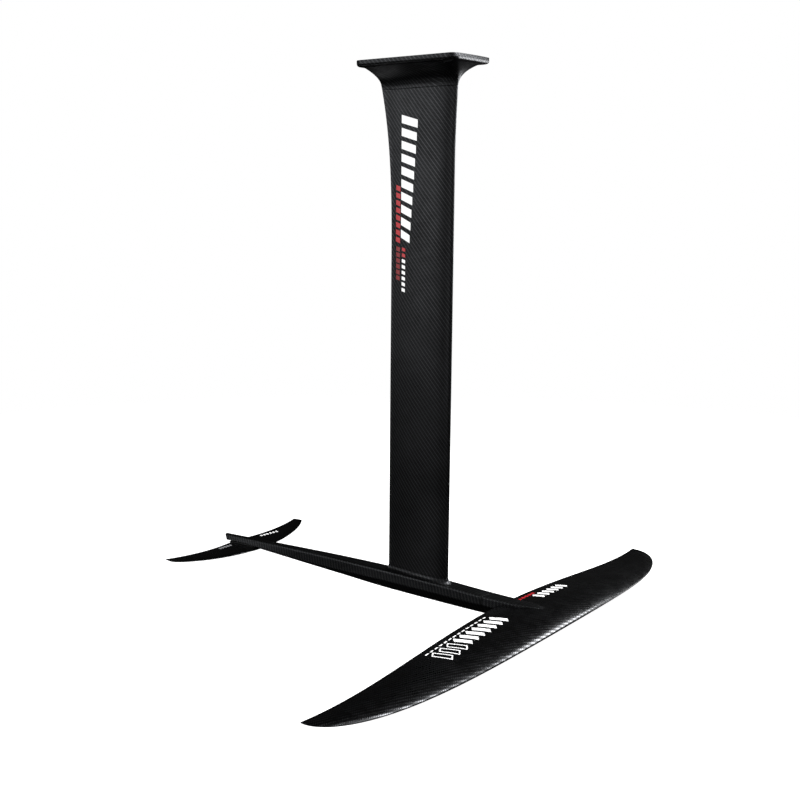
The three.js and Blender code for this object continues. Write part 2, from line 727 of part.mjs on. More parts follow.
const PLACES = ['rear', 'front'];
WING_SCREWS.xs.forEach((x, i) => {
  add(`wing_insert_${PLACES[i]}`, insert(M8, SPIGOT.bottom, WING_SCREWS.insertLength, x), BRASS);
  add(`wing_screw_${PLACES[i]}`, screw(M8, WING_SCREWS.faceZ, WING_SCREWS.length - 1, x), STEEL);
});
TAIL_SCREWS.xs.forEach((x, i) => {
  add(`stabiliser_insert_${PLACES[i]}`, insert(M6, SEAT.z, TAIL_SCREWS.insertLength, x), BRASS);
  add(`stabiliser_screw_${PLACES[i]}`, screw(M6, TAIL_PAD.bottom, TAIL_SCREWS.length - 1, x), STEEL);
});

export default group;
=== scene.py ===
"""Looks of a carbon hydrofoil: top plate, mast, fuselage, front wing and stabiliser.

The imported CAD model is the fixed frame. Each sub-assembly is a class that lofts smooth skins over the
CAD's outlines, lays carbon cloth on them and hides the faceted solids that they stand for.
"""

import json
import logging
import math
from dataclasses import dataclass, field
from enum import Enum
from typing import Callable, Protocol, Sequence

import bpy
import numpy as np
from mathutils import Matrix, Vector


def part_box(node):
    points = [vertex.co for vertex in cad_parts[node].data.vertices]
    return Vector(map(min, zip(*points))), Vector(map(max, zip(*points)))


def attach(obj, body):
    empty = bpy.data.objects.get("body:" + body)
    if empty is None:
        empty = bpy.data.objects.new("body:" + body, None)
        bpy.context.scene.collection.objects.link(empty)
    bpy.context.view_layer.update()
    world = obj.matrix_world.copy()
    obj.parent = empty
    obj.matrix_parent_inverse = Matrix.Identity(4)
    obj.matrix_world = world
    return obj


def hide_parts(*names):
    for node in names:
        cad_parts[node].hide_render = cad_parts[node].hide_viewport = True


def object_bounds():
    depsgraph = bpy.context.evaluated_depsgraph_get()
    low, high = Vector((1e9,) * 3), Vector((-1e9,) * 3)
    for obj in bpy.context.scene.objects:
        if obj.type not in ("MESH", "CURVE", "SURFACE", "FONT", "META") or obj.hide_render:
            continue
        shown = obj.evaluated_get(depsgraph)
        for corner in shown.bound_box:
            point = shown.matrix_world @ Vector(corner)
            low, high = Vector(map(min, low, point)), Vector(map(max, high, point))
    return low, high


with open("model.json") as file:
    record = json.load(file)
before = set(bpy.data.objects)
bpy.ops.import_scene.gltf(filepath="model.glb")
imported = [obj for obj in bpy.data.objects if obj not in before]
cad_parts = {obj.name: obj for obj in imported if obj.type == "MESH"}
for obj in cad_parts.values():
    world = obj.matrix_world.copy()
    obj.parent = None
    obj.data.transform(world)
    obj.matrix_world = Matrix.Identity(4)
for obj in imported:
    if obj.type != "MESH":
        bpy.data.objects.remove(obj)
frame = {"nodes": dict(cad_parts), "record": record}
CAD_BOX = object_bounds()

log = logging.getLogger("hydrofoil")

MM = 0.001
ROOT = "root"
MERGE_DISTANCE = 0.002 * MM
# Mean share of painted highlight on the twill's tow crowns.
MEAN_PAINTED_LIGHT = 0.58
STREAKS_PER_TOW = 5
FILM_THICKNESS = 0.12 * MM


class Slot(Enum):
    """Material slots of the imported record."""

    TWILL = "carbon_twill"
    GLOSS = "carbon_gloss"
    RAW = "carbon_raw"
    FOAM = "foam"
    STEEL = "stainless"
    BRASS = "brass"
    NYLON = "nylon"


# ------------------------------------------------------------------------------ node graphs


class Graph:
    """Small helper that builds a material's node tree."""

    def __init__(self, name: str) -> None:
        """Starts a material with an empty tree, a Principled shader and an output.

        Args:
            name: the material's name.
        """
        self.material = bpy.data.materials.new(name)
        self.material.use_nodes = True
        self.tree = self.material.node_tree
        self.tree.nodes.clear()
        self.shader = self.node("ShaderNodeBsdfPrincipled")
        output = self.node("ShaderNodeOutputMaterial")
        self.link(self.shader.outputs["BSDF"], output.inputs["Surface"])

    def node(self, kind: str, **settings: object) -> bpy.types.Node:
        """Adds a node and sets its properties.

        Args:
            kind: the node's type name.
            settings: properties to set on it.

        Returns:
            The new node.
        """
        made = self.tree.nodes.new(kind)
        for key, value in settings.items():
            setattr(made, key, value)
        return made

    def link(self, source: bpy.types.NodeSocket, target: bpy.types.NodeSocket) -> None:
        """Joins two sockets."""
        self.tree.links.new(source, target)

    def feed(self, socket: bpy.types.NodeSocket, value: object) -> None:
        """Links or sets an input.

        Args:
            socket: the input.
            value: another node's output, or a plain value.
        """
        if isinstance(value, bpy.types.NodeSocket):
            self.link(value, socket)
        else:
            socket.default_value = value

    def math(self, operation: str, *values: object, clamp: bool = False) -> bpy.types.NodeSocket:
        """Adds a Math node.

        Args:
            operation: the node's operation.
            values: its inputs, as numbers or sockets.
            clamp: whether the result is held between 0 and 1.

        Returns:
            The node's output.
        """
        made = self.node("ShaderNodeMath", operation=operation, use_clamp=clamp)
        for socket, value in zip(made.inputs, values):
            self.feed(socket, value)
        return made.outputs[0]

    def blend(self, share: object, low: object, high: object) -> bpy.types.NodeSocket:
        """Mixes two colours.

        Args:
            share: 0 for low, 1 for high.
            low: a colour or a socket.
            high: a colour or a socket.

        Returns:
            The mixed colour.
        """
        made = self.node("ShaderNodeMix", data_type="RGBA")
        self.feed(made.inputs[0], share)
        self.feed(made.inputs[6], low)
        self.feed(made.inputs[7], high)
        return made.outputs[2]

    def noise(self, place: bpy.types.NodeSocket, scale: float,
              detail: float = 3.0) -> bpy.types.NodeSocket:
        """Adds a Noise texture.

        Args:
            place: the coordinates.
            scale: the noise's scale.
            detail: its octaves.

        Returns:
            The noise's value.
        """
        made = self.node("ShaderNodeTexNoise")
        self.link(place, made.inputs["Vector"])
        made.inputs["Scale"].default_value = scale
        made.inputs["Detail"].default_value = detail
        return made.outputs["Fac"]

    def span(self, value: object, low: float, high: float,
             to_low: float, to_high: float) -> bpy.types.NodeSocket:
        """Maps one range of values to another, and holds the result inside it.

        Args:
            value: the value to map.
            low: the value that becomes to_low.
            high: the value that becomes to_high.
            to_low: the result at low.
            to_high: the result at high.

        Returns:
            The mapped value.
        """
        made = self.node("ShaderNodeMapRange")
        for socket, number in zip(made.inputs, (value, low, high, to_low, to_high)):
            self.feed(socket, number)
        return made.outputs[0]

    def bump(self, height: bpy.types.NodeSocket, strength: float, distance: float) -> None:
        """Turns a height into the shader's normal.

        Args:
            height: the height, from 0 to 1.
            strength: the bump's strength.
            distance: the real height of 1, in metres.
        """
        made = self.node("ShaderNodeBump")
        made.inputs["Strength"].default_value = strength
        made.inputs["Distance"].default_value = distance
        self.link(height, made.inputs["Height"])
        self.link(made.outputs["Normal"], self.shader.inputs["Normal"])

    def set(self, **values: object) -> None:
        """Sets plain values on the shader's sockets; an underscore stands for a space."""
        for key, value in values.items():
            self.shader.inputs[key.replace("_", " ")].default_value = value


def rgb(red: float, green: float, blue: float) -> tuple[float, float, float, float]:
    """Returns an opaque colour."""
    return (red, green, blue, 1.0)


# ------------------------------------------------------------------------------ finishes


@dataclass(frozen=True)
class TwillFinish:
    """Clear-coated 2x2 twill carbon cloth, read from the piece's UV map in metres.

    Attributes:
        name: the material's name.
        tows: width of one tow along each of the cloth's directions, in metres.
        turn: angle of the cloth on the piece, in radians.
        shade: painted shade, the base colour in the gaps between tows.
        glint: painted highlight, the base colour on the crowns of the tows.
        roughness: of the resin over the tows.
        coat: weight of the clear coat.
        coat_roughness: of the clear coat.
        relief: height of the tows' crowns, in metres.
        contrast: painted highlight, how much brighter the warp tows' base colour is than the weft's.
    """

    name: str
    tows: tuple[float, float]
    turn: float
    shade: tuple[float, float, float, float]
    glint: tuple[float, float, float, float]
    roughness: float
    coat: float
    coat_roughness: float
    relief: float
    contrast: float

    def build(self) -> bpy.types.Material:
        """Returns the finished material."""
        g = Graph(self.name)
        uv = g.node("ShaderNodeUVMap", uv_map="cloth")
        turned = g.node("ShaderNodeMapping")
        g.link(uv.outputs["UV"], turned.inputs["Vector"])
        turned.inputs["Rotation"].default_value = (0, 0, self.turn)
        cloth = g.node("ShaderNodeMapping")
        g.link(turned.outputs["Vector"], cloth.inputs["Vector"])
        cloth.inputs["Scale"].default_value = (1 / self.tows[0], 1 / self.tows[1], 1)
        across = g.node("ShaderNodeSeparateXYZ")
        g.link(cloth.outputs["Vector"], across.inputs[0])
        u, v = across.outputs[0], across.outputs[1]
        i, j = g.math("FLOOR", u), g.math("FLOOR", v)
        fu, fv = g.math("FRACT", u), g.math("FRACT", v)
        phase = g.math("FLOORED_MODULO", g.math("ADD", i, j), 4.0)
        warp = g.math("LESS_THAN", phase, 1.5)

        crown_u = self._crown(g, fu)
        crown_v = self._crown(g, fv)
        float_v = g.math("DIVIDE", g.math("ADD", phase, fv), 2.0)
        float_u = g.math("DIVIDE", g.math("ADD", g.math("SUBTRACT", phase, 2.0), fu), 2.0)
        warp_height = g.math("MULTIPLY", crown_u, self._arch(g, float_v))
        weft_height = g.math("MULTIPLY", crown_v, self._arch(g, float_u))
        height = g.math("ADD", g.math("MULTIPLY", warp, warp_height),
                        g.math("MULTIPLY", g.math("SUBTRACT", 1.0, warp), weft_height))

        place = g.node("ShaderNodeTexCoord")
        drift = g.noise(place.outputs["Object"], 9.0)
        fibres = self._fibres(g, u, v, warp)
        # Painted highlight on tow crowns, stronger on warp than weft; painted shade in the gaps between tows.
        painted_tow_glint = g.math("MULTIPLY_ADD", warp, self.contrast, MEAN_PAINTED_LIGHT - self.contrast / 2)
        painted_weave_light = g.math("MULTIPLY", height, painted_tow_glint)
        share = g.math("ADD", painted_weave_light, g.span(drift, 0.3, 0.7, -0.06, 0.1))
        share = g.math("ADD", share, g.math("MULTIPLY", fibres, 0.07), clamp=True)
        g.link(g.blend(share, self.shade, self.glint), g.shader.inputs["Base Color"])

        worn = g.noise(place.outputs["Object"], 60.0, 4.0)
        rough = g.math("ADD", g.span(worn, 0.35, 0.7, self.roughness - 0.03, self.roughness + 0.05),
                       g.math("MULTIPLY", warp, -0.06))
        g.link(rough, g.shader.inputs["Roughness"])
        g.bump(height, 0.55, self.relief)
        g.set(Metallic=1.0, Coat_Weight=self.coat, Coat_Roughness=self.coat_roughness, Coat_IOR=1.45)
        return g.material

    @staticmethod
    def _crown(g: Graph, share: bpy.types.NodeSocket) -> bpy.types.NodeSocket:
        """Returns the rounded section across one tow, from 0 at its edges to 1 along its middle."""
        centred = g.math("MULTIPLY_ADD", share, 2.0, -1.0)
        return g.math("SUBTRACT", 1.0, g.math("POWER", g.math("ABSOLUTE", centred), 2.6), clamp=True)

    @staticmethod
    def _arch(g: Graph, share: bpy.types.NodeSocket) -> bpy.types.NodeSocket:
        """Returns the rise and fall of a tow over the two tows that it crosses."""
        return g.math("POWER", g.math("SINE", g.math("MULTIPLY", share, math.pi), clamp=True), 0.8)

    @staticmethod
    def _fibres(g: Graph, u: bpy.types.NodeSocket, v: bpy.types.NodeSocket,
                warp: bpy.types.NodeSocket) -> bpy.types.NodeSocket:
        """Draws fine streaks that run along each tow.

        Args:
            g: the material's graph.
            u: the cloth's first direction, in tows.
            v: the cloth's second direction, in tows.
            warp: 1 where the warp lies on top, 0 where the weft does.

        Returns:
            The streaks, from -1 to 1.
        """
        cut = g.math("ADD", g.math("MULTIPLY", warp, u),
                     g.math("MULTIPLY", g.math("SUBTRACT", 1.0, warp), v))
        return g.math("SINE", g.math("MULTIPLY", cut, 2 * math.pi * STREAKS_PER_TOW))


@dataclass(frozen=True)
class PrintFinish:
    """Printed film under the clear coat, slightly uneven.

    Attributes:
        name: the material's name.
        ink: the print's colour.
        thin: the colour where the ink is thin.
    """

    name: str
    ink: tuple[float, float, float, float]
    thin: tuple[float, float, float, float]

    def build(self) -> bpy.types.Material:
        """Returns the finished material."""
        g = Graph(self.name)
        place = g.node("ShaderNodeTexCoord").outputs["Object"]
        patch = g.noise(place, 420.0, 5.0)
        worn = g.span(patch, 0.52, 0.8, 0.0, 0.6)
        g.link(g.blend(worn, self.ink, self.thin), g.shader.inputs["Base Color"])
        g.link(g.span(g.noise(place, 90.0), 0.3, 0.7, 0.34, 0.46), g.shader.inputs["Roughness"])
        g.bump(patch, 0.12, 0.05 * MM)
        g.set(IOR=1.5, Coat_Weight=0.4, Coat_Roughness=0.12)
        return g.material


@dataclass(frozen=True)
class MetalFinish:
    """Turned metal with fine lathe rings and dulled patches.

    Attributes:
        name: the material's name.
        bright: colour of the clean metal.
        dull: colour of the handled metal.
        roughness: of the clean metal.
    """

    name: str
    bright: tuple[float, float, float, float]
    dull: tuple[float, float, float, float]
    roughness: float

    def build(self) -> bpy.types.Material:
        """Returns the finished material."""
        g = Graph(self.name)
        place = g.node("ShaderNodeTexCoord").outputs["Object"]
        patch = g.noise(place, 160.0, 5.0)
        handled = g.span(patch, 0.4, 0.7, 0.0, 1.0)
        g.link(g.blend(handled, self.bright, self.dull), g.shader.inputs["Base Color"])
        rough = g.span(patch, 0.35, 0.7, self.roughness, self.roughness + 0.18)
        g.link(rough, g.shader.inputs["Roughness"])
        rings = g.node("ShaderNodeTexWave", wave_type="BANDS", bands_direction="Z")
        g.link(place, rings.inputs["Vector"])
        rings.inputs["Scale"].default_value = 1400.0
        rings.inputs["Distortion"].default_value = 0.6
        g.bump(rings.outputs["Fac"], 0.25, 0.02 * MM)
        g.set(Metallic=1.0)
        return g.material


@dataclass(frozen=True)
class CellFinish:
    """Foam or moulded plastic: a grain of small cells over two close colours.

    Attributes:
        name: the material's name.
        light: the lighter colour.
        dark: the darker colour.
        roughness: of the surface.
        grain: cells per metre.
    """

    name: str
    light: tuple[float, float, float, float]
    dark: tuple[float, float, float, float]
    roughness: float
    grain: float

    def build(self) -> bpy.types.Material:
        """Returns the finished material."""
        g = Graph(self.name)
        place = g.node("ShaderNodeTexCoord").outputs["Object"]
        cells = g.node("ShaderNodeTexVoronoi")
        g.link(place, cells.inputs["Vector"])
        cells.inputs["Scale"].default_value = self.grain
        share = g.span(cells.outputs["Distance"], 0.1, 0.6, 0.0, 1.0)
        g.link(g.blend(share, self.dark, self.light), g.shader.inputs["Base Color"])
        g.link(g.span(g.noise(place, 50.0), 0.3, 0.7, self.roughness - 0.05, self.roughness + 0.05),
               g.shader.inputs["Roughness"])
        g.bump(share, 0.3, 0.1 * MM)
        return g.material


class Finishes:
    """Every material of the foil, built once."""

    def __init__(self) -> None:
        """Builds the materials."""
        # Painted shade and painted highlight colours of the twill weave.
        shade, glint = rgb(0.011, 0.0114, 0.012), rgb(0.1, 0.103, 0.109)
        self.mast = TwillFinish("satin_twill", (2.0 * MM, 2.25 * MM), 0.0, shade, glint,
                                0.42, 0.05, 0.3, 0.07 * MM, 0.48).build()
        self.bias = TwillFinish("bias_twill", (2.2 * MM, 2.2 * MM), math.radians(45), shade, glint,
                                0.4, 0.05, 0.3, 0.12 * MM, 0.6).build()
        self.wing = TwillFinish("wing_twill", (2.3 * MM, 2.3 * MM), math.radians(16), shade,
                                rgb(0.11, 0.112, 0.118), 0.33, 0.1, 0.2, 0.06 * MM, 1.1).build()
        self.bare = CellFinish("bare_laminate", rgb(0.05, 0.05, 0.052), rgb(0.025, 0.025, 0.026),
                               0.6, 900.0).build()
        self.foam = CellFinish("core_foam", rgb(0.8, 0.74, 0.58), rgb(0.66, 0.58, 0.42),
                               0.9, 700.0).build()
        self.nylon = CellFinish("moulded_nylon", rgb(0.03, 0.03, 0.032), rgb(0.018, 0.018, 0.02),
                                0.5, 1600.0).build()
        self.steel = MetalFinish("stainless_steel", rgb(0.62, 0.63, 0.65), rgb(0.42, 0.43, 0.45),
                                 0.22).build()
        self.brass = MetalFinish("turned_brass", rgb(0.72, 0.54, 0.24), rgb(0.5, 0.36, 0.15), 0.28).build()
        self.white = PrintFinish("white_print", rgb(0.86, 0.86, 0.86), rgb(0.7, 0.7, 0.71)).build()
        self.red = PrintFinish("red_print", rgb(0.4, 0.008, 0.014), rgb(0.28, 0.006, 0.01)).build()
        self.deep_red = PrintFinish("deep_red_print", rgb(0.2, 0.006, 0.008),
                                    rgb(0.12, 0.005, 0.006)).build()
        self.grey = PrintFinish("grey_print", rgb(0.22, 0.22, 0.23), rgb(0.14, 0.14, 0.15)).build()


# ------------------------------------------------------------------------------ modelling tools


def deselect() -> None:
    """Leaves edit mode and deselects every object."""
    if bpy.context.object and bpy.context.object.mode != "OBJECT":
        bpy.ops.object.mode_set(mode="OBJECT")
    bpy.ops.object.select_all(action="DESELECT")


def activate(piece: bpy.types.Object) -> None:
    """Makes a piece the only selected one, and active."""
    deselect()
    piece.select_set(True)
    bpy.context.view_layer.objects.active = piece


def settle(piece: bpy.types.Object) -> None:
    """Moves a piece's place and turn into its mesh, so that its object sits at the origin."""
    activate(piece)
    bpy.ops.object.transform_apply(location=True, rotation=True, scale=True)


def grid_skin(name: str, rows: np.ndarray, cloth: np.ndarray, smooth: float = 35.0) -> bpy.types.Object:
    """Lays a grid over rows of points, joins its seams and fills its open ends.

    Args:
        name: the piece's name.
        rows: points of shape (along, around, 3), in metres. Where the first and last columns or rows
            coincide, they are joined.
        cloth: the cloth's coordinates of shape (along, around, 2), in metres.
        smooth: edges sharper than this angle, in degrees, stay sharp.

    Returns:
        The closed piece, with a UV map named cloth.
    """
    along, around = rows.shape[0] - 1, rows.shape[1] - 1
    deselect()
    bpy.ops.mesh.primitive_grid_add(x_subdivisions=around, y_subdivisions=along, size=2, calc_uvs=True)
    piece = bpy.context.object
    piece.name = piece.data.name = name
    mesh = piece.data
    flat = np.zeros(len(mesh.vertices) * 3)
    mesh.vertices.foreach_get("co", flat)
    flat = (flat.reshape(-1, 3)[:, :2] + 1) / 2
    column = np.rint(flat[:, 0] * around).astype(int)
    row = np.rint(flat[:, 1] * along).astype(int)
    mesh.vertices.foreach_set("co", rows[row, column].astype(np.float32).ravel())
    corner = np.zeros(len(mesh.loops), int)
    mesh.loops.foreach_get("vertex_index", corner)
    layer = mesh.uv_layers[0]
    layer.name = "cloth"
    layer.data.foreach_set("uv", cloth[row[corner], column[corner]].astype(np.float32).ravel())
    mesh.update()
    close_up(piece)
    soften(piece, smooth)
    return piece


def close_up(piece: bpy.types.Object) -> None:
    """Joins coincident points, fills what is still open and turns the faces outwards.

    Args:
        piece: the piece to close.
    """
    activate(piece)
    bpy.ops.object.mode_set(mode="EDIT")
    bpy.ops.mesh.select_all(action="SELECT")
    bpy.ops.mesh.remove_doubles(threshold=MERGE_DISTANCE)
    bpy.ops.mesh.fill_holes(sides=0)
    bpy.ops.mesh.select_all(action="SELECT")
    bpy.ops.mesh.normals_make_consistent(inside=False)
    bpy.ops.object.mode_set(mode="OBJECT")


def soften(piece: bpy.types.Object, angle: float) -> None:
    """Shades a piece smooth, except at edges sharper than an angle in degrees."""
    activate(piece)
    bpy.ops.object.shade_smooth_by_angle(angle=math.radians(angle))


def finish_with(piece: bpy.types.Object, kind: str, **settings: object) -> None:
    """Adds a modifier, sets it and applies it.

    Args:
        piece: the piece to change.
        kind: the modifier's type.
        settings: its properties.
    """
    modifier = piece.modifiers.new(kind.lower(), kind)
    for key, value in settings.items():
        setattr(modifier, key, value)
    activate(piece)
    bpy.ops.object.modifier_apply(modifier=modifier.name)


def carve(piece: bpy.types.Object, cutter: bpy.types.Object) -> None:
    """Cuts one piece out of another and removes the cutter."""
    finish_with(piece, "BOOLEAN", operation="DIFFERENCE", solver="EXACT", object=cutter)
    bpy.data.objects.remove(cutter)


def round_cutter(radius: float, top_radius: float, low: float, high: float, place: Vector,
                 stretch: float = 0.0) -> bpy.types.Object:
    """Makes an upright cutter: a cylinder, a cone or, when stretched along X, a slot.

    Args:
        radius: radius at its low end.
        top_radius: radius at its high end.
        low: height of its low end.
        high: height of its high end.
        place: its axis; only X and Y are used.
        stretch: distance between the centres of a slot's two round ends.

    Returns:
        The cutter.
    """
    deselect()
    bpy.ops.mesh.primitive_cone_add(vertices=48, radius1=radius, radius2=top_radius, depth=high - low,
                                    location=(place.x, place.y, (low + high) / 2))
    cutter = bpy.context.object
    settle(cutter)
    for sign in (-1, 1):
        pull_end(cutter, sign, place.x, stretch / 2)
    return cutter


def pull_end(cutter: bpy.types.Object, sign: int, middle: float, distance: float) -> None:
    """Moves one half of a cutter along X, in edit mode.

    Args:
        cutter: the cutter.
        sign: 1 for the forward half, -1 for the rear half.
        middle: X of the plane between the halves.
        distance: how far that half moves.
    """
    activate(cutter)
    bpy.ops.object.mode_set(mode="EDIT")
    bpy.ops.mesh.select_all(action="DESELECT")
    bpy.ops.object.mode_set(mode="OBJECT")
    for vertex in cutter.data.vertices:
        vertex.select = sign * (vertex.co.x - middle) > 0.01 * MM
    bpy.ops.object.mode_set(mode="EDIT")
    bpy.ops.transform.translate(value=(sign * distance, 0, 0))
    bpy.ops.object.mode_set(mode="OBJECT")


def hand_over(piece: bpy.types.Object, material: bpy.types.Material, slot: Slot,
              *nodes: str) -> bpy.types.Object:
    """Dresses a finished piece, rides it on the frame and hides the CAD nodes that it stands for.

    Args:
        piece: the piece.
        material: its finish.
        slot: not used.
        nodes: CAD nodes that it replaces.

    Returns:
        The same piece.
    """
    piece.data.materials.clear()
    piece.data.materials.append(material)
    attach(piece, ROOT)
    if nodes:
        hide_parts(*nodes)
    log.info("%s: %d faces", piece.name, len(piece.data.polygons))
    return piece


def guide(knots: Sequence[tuple[float, float]]) -> Callable[[float], float]:
    """Fits a smooth curve through knots.

    Args:
        knots: pairs of a place and a height, in millimetres.

    Returns:
        The curve, which gives a height for a place, both in millimetres.
    """
    slopes = []
    for i in range(len(knots)):
        before, after = knots[max(i - 1, 0)], knots[min(i + 1, len(knots) - 1)]
        slopes.append((after[1] - before[1]) / (after[0] - before[0]))

    def curve(x: float) -> float:
        """Returns the curve's height at x.

        Args:
            x: the place, held between the first knot and the last.

        Returns:
            The height.
        """
        i = 0
        while i < len(knots) - 2 and x > knots[i + 1][0]:
            i += 1
        width, rise = knots[i + 1][0] - knots[i][0], knots[i + 1][1] - knots[i][1]
        t = min(max((x - knots[i][0]) / width, 0.0), 1.0)
        a, b = slopes[i] * width - rise, rise - slopes[i + 1] * width
        return knots[i][1] + t * rise + t * (1 - t) * (a * (1 - t) + b * t)

    return curve


def path_lengths(points: np.ndarray) -> np.ndarray:
    """Returns the length along a row of points up to each one."""
    steps = np.linalg.norm(np.diff(points, axis=0), axis=1)
    return np.concatenate([[0.0], np.cumsum(steps)])


def wrapped_cloth(rows: np.ndarray, reference: int = -1) -> np.ndarray:
    """Lays cloth round a skin: one thread direction follows the rows, the other the columns.

    Args:
        rows: the skin's points.
        reference: the row whose girth sets the cloth's width.

    Returns:
        The cloth's coordinates.
    """
    girth = path_lengths(rows[reference])
    girth -= girth[len(girth) // 2]
    lengths = np.stack([path_lengths(rows[:, i]) for i in range(rows.shape[1])], axis=1)
    return np.stack([np.broadcast_to(girth, rows.shape[:2]), -lengths], axis=-1)


def upright_cloth(rows: np.ndarray) -> np.ndarray:
    """Lays cloth on the mast: one thread direction runs fore and aft and round the ends, the other down.

    Args:
        rows: the skin's points.

    Returns:
        The cloth's coordinates.
    """
    x, reach = rows[:, :, 0], np.abs(rows[:, :, 1])
    widest = reach.max(axis=1, keepdims=True)
    round_ends = np.clip(x / (60 * MM), -1, 1) * (widest - reach)
    lengths = np.stack([path_lengths(rows[:, i]) for i in range(rows.shape[1])], axis=1)
    return np.stack([x + round_ends, -lengths], axis=-1)


def flat_cloth(rows: np.ndarray) -> np.ndarray:
    """Returns the coordinates of cloth laid on a skin as seen from above."""
    return rows[:, :, :2] * np.array([1.0, -1.0])


# ------------------------------------------------------------------------------ foil sections


def half_thickness(u: float, ratio: float) -> float:
    """Returns a four-digit foil section's half thickness per unit of chord at u from its leading edge."""
    return 5 * ratio * (0.2969 * math.sqrt(u) + u * (-0.126 + u * (-0.3516 + u * (0.2843 - 0.1036 * u))))


def camber_line(u: float, camber: float) -> float:
    """Returns the camber line's height per unit of chord at u from the leading edge."""
    peak = 0.4
    t = u / peak if u < peak else (1 - u) / (1 - peak)
    return camber * t * (2 - t)


@dataclass
class Station:
    """One section of a wing, in millimetres."""

    y: float
    chord: float
    trailing_x: float
    trailing_z: float
    leading_z: float
    thickness: float
    camber: float
    edge: float = 0.45
    crowding: float = 1.1

    def half(self, u: float) -> float:
        """Returns the half thickness at u; the trailing edge keeps its blunt edge."""
        blunt = self.edge * min(1.0, 1.6 * u) if u < 0.6 else self.edge
        return max(self.chord * half_thickness(u, self.thickness), blunt)

    def point(self, u: float, offset: float) -> Vector:
        """Returns the point at u, offset upwards from the camber line."""
        line = self.leading_z + (self.trailing_z - self.leading_z) * u
        return Vector((self.trailing_x + (1 - u) * self.chord, self.y,
                       line + self.chord * camber_line(u, self.camber) + offset))

    def loop(self, around: int) -> list[Vector]:
        """Walks round the section: trailing edge, underside, leading edge, upper side, trailing edge.

        Args:
            around: steps round the section.

        Returns:
            The closed loop's points.
        """
        middle = around // 2
        points = []
        for k in range(around + 1):
            from_leading = abs(k - middle)
            side = -1 if k < middle else 1
            share = min(from_leading / (middle - 1), 1.0)
            u = min(1 - math.cos(share * math.pi / 2), 1.0) ** self.crowding
            closing = 0.0 if from_leading == middle else 1.0
            points.append(self.point(u, side * closing * self.half(u)))
        return points


class Plan(Protocol):
    """Outline of a wing seen from above."""

    half_span: float

    def station(self, share: float) -> Station:
        """Returns the section at a share of the half span, from -1 to 1."""


@dataclass
class WingPlan:
    """Front wing outline, in millimetres: a bowed trailing edge and a swept, rounded leading edge."""

    half_span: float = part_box("front_wing_upper_skin")[1].y / MM
    trailing_x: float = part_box("front_wing_upper_skin")[0].x / MM
    leading_x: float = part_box("front_wing_upper_skin")[1].x / MM
    tip_chord: float = 6.0
    shoulder_fullness: float = -0.186
    tip_fullness: float = 0.2
    root_z: float = -873.2
    droop: float = 22.1
    bow: float = 29.5
    root_incidence: float = 1.3
    washout: float = 2.2
    root_thickness: float = 0.118
    tip_thickness: float = 0.085
    camber: float = 0.026

    def station(self, share: float) -> Station:
        """Returns the section at a share of the half span.

        Args:
            share: from -1 at one tip to 1 at the other.

        Returns:
            The section.
        """
        t = abs(share)
        shape = 1 + self.shoulder_fullness * t**2 + self.tip_fullness * t**4
        fullness = math.sqrt(max(1 - t * t, 0.0)) * shape
        trailing_z = self.root_z - self.droop * t**2 * (2 - t**2)
        return Station(
            y=self.half_span * share,
            chord=(self.leading_x - self.trailing_x) * fullness + self.tip_chord * t**8,
            trailing_x=self.trailing_x + self.bow * t**2 * (1 - t**2),
            trailing_z=trailing_z,
            leading_z=trailing_z + self.root_incidence - self.washout * t**2,
            thickness=self.root_thickness + (self.tip_thickness - self.root_thickness) * t,
            camber=self.camber,
        )


@dataclass
class TailPlan:
    """Stabiliser outline, in millimetres: a small swept crescent with squared tips."""

    half_span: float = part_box("stabiliser")[1].y / MM
    root_chord: float = 62.2
    taper: float = 37.6
    tip_cut: float = 4.0
    trailing_x: float = -417.2
    forward_rake: float = 40.3
    tip_sweep: float = 45.2
    root_z: float = -865.5
    rise: float = 3.6
    incidence: float = 5.4
    thickness: float = 0.105
    camber: float = -0.015

    def station(self, share: float) -> Station:
        """Returns the section at a share of the half span.

        Args:
            share: from -1 at one tip to 1 at the other.

        Returns:
            The section.
        """
        t = abs(share)
        trailing_z = self.root_z + self.rise * t**2
        return Station(
            y=self.half_span * share,
            chord=self.root_chord - self.taper * t - self.tip_cut * t**10,
            trailing_x=self.trailing_x + self.forward_rake * t - self.tip_sweep * t**2,
            trailing_z=trailing_z,
            leading_z=trailing_z - self.incidence * math.sqrt(max(1 - t * t, 0.0)),
            thickness=self.thickness,
            camber=self.camber,
        )


def span_shares(count: int) -> list[float]:
    """Returns shares of the half span from tip to tip, closer together near the tips."""
    return [math.sin(math.pi / 2 * (i - count) / count) for i in range(2 * count + 1)]


def foil_rows(plan: Plan, around: int, half_count: int,
              lift: Callable[[Vector, int], float] | None = None) -> np.ndarray:
    """Lofts a wing from tip to tip.

    Args:
        plan: the wing's outline.
        around: points round each section.
        half_count: stations on each side of the middle.
        lift: optional change of height, in millimetres, from a point and its column.

    Returns:
        Rows of points in metres.
    """
    rows = []
    for share in span_shares(half_count):
        loop = plan.station(share).loop(around)
        if lift:
            for k, point in enumerate(loop):
                point.z += lift(point, k)
        rows.append([tuple(point * MM) for point in loop])
    return np.array(rows)


# ------------------------------------------------------------------------------ mast


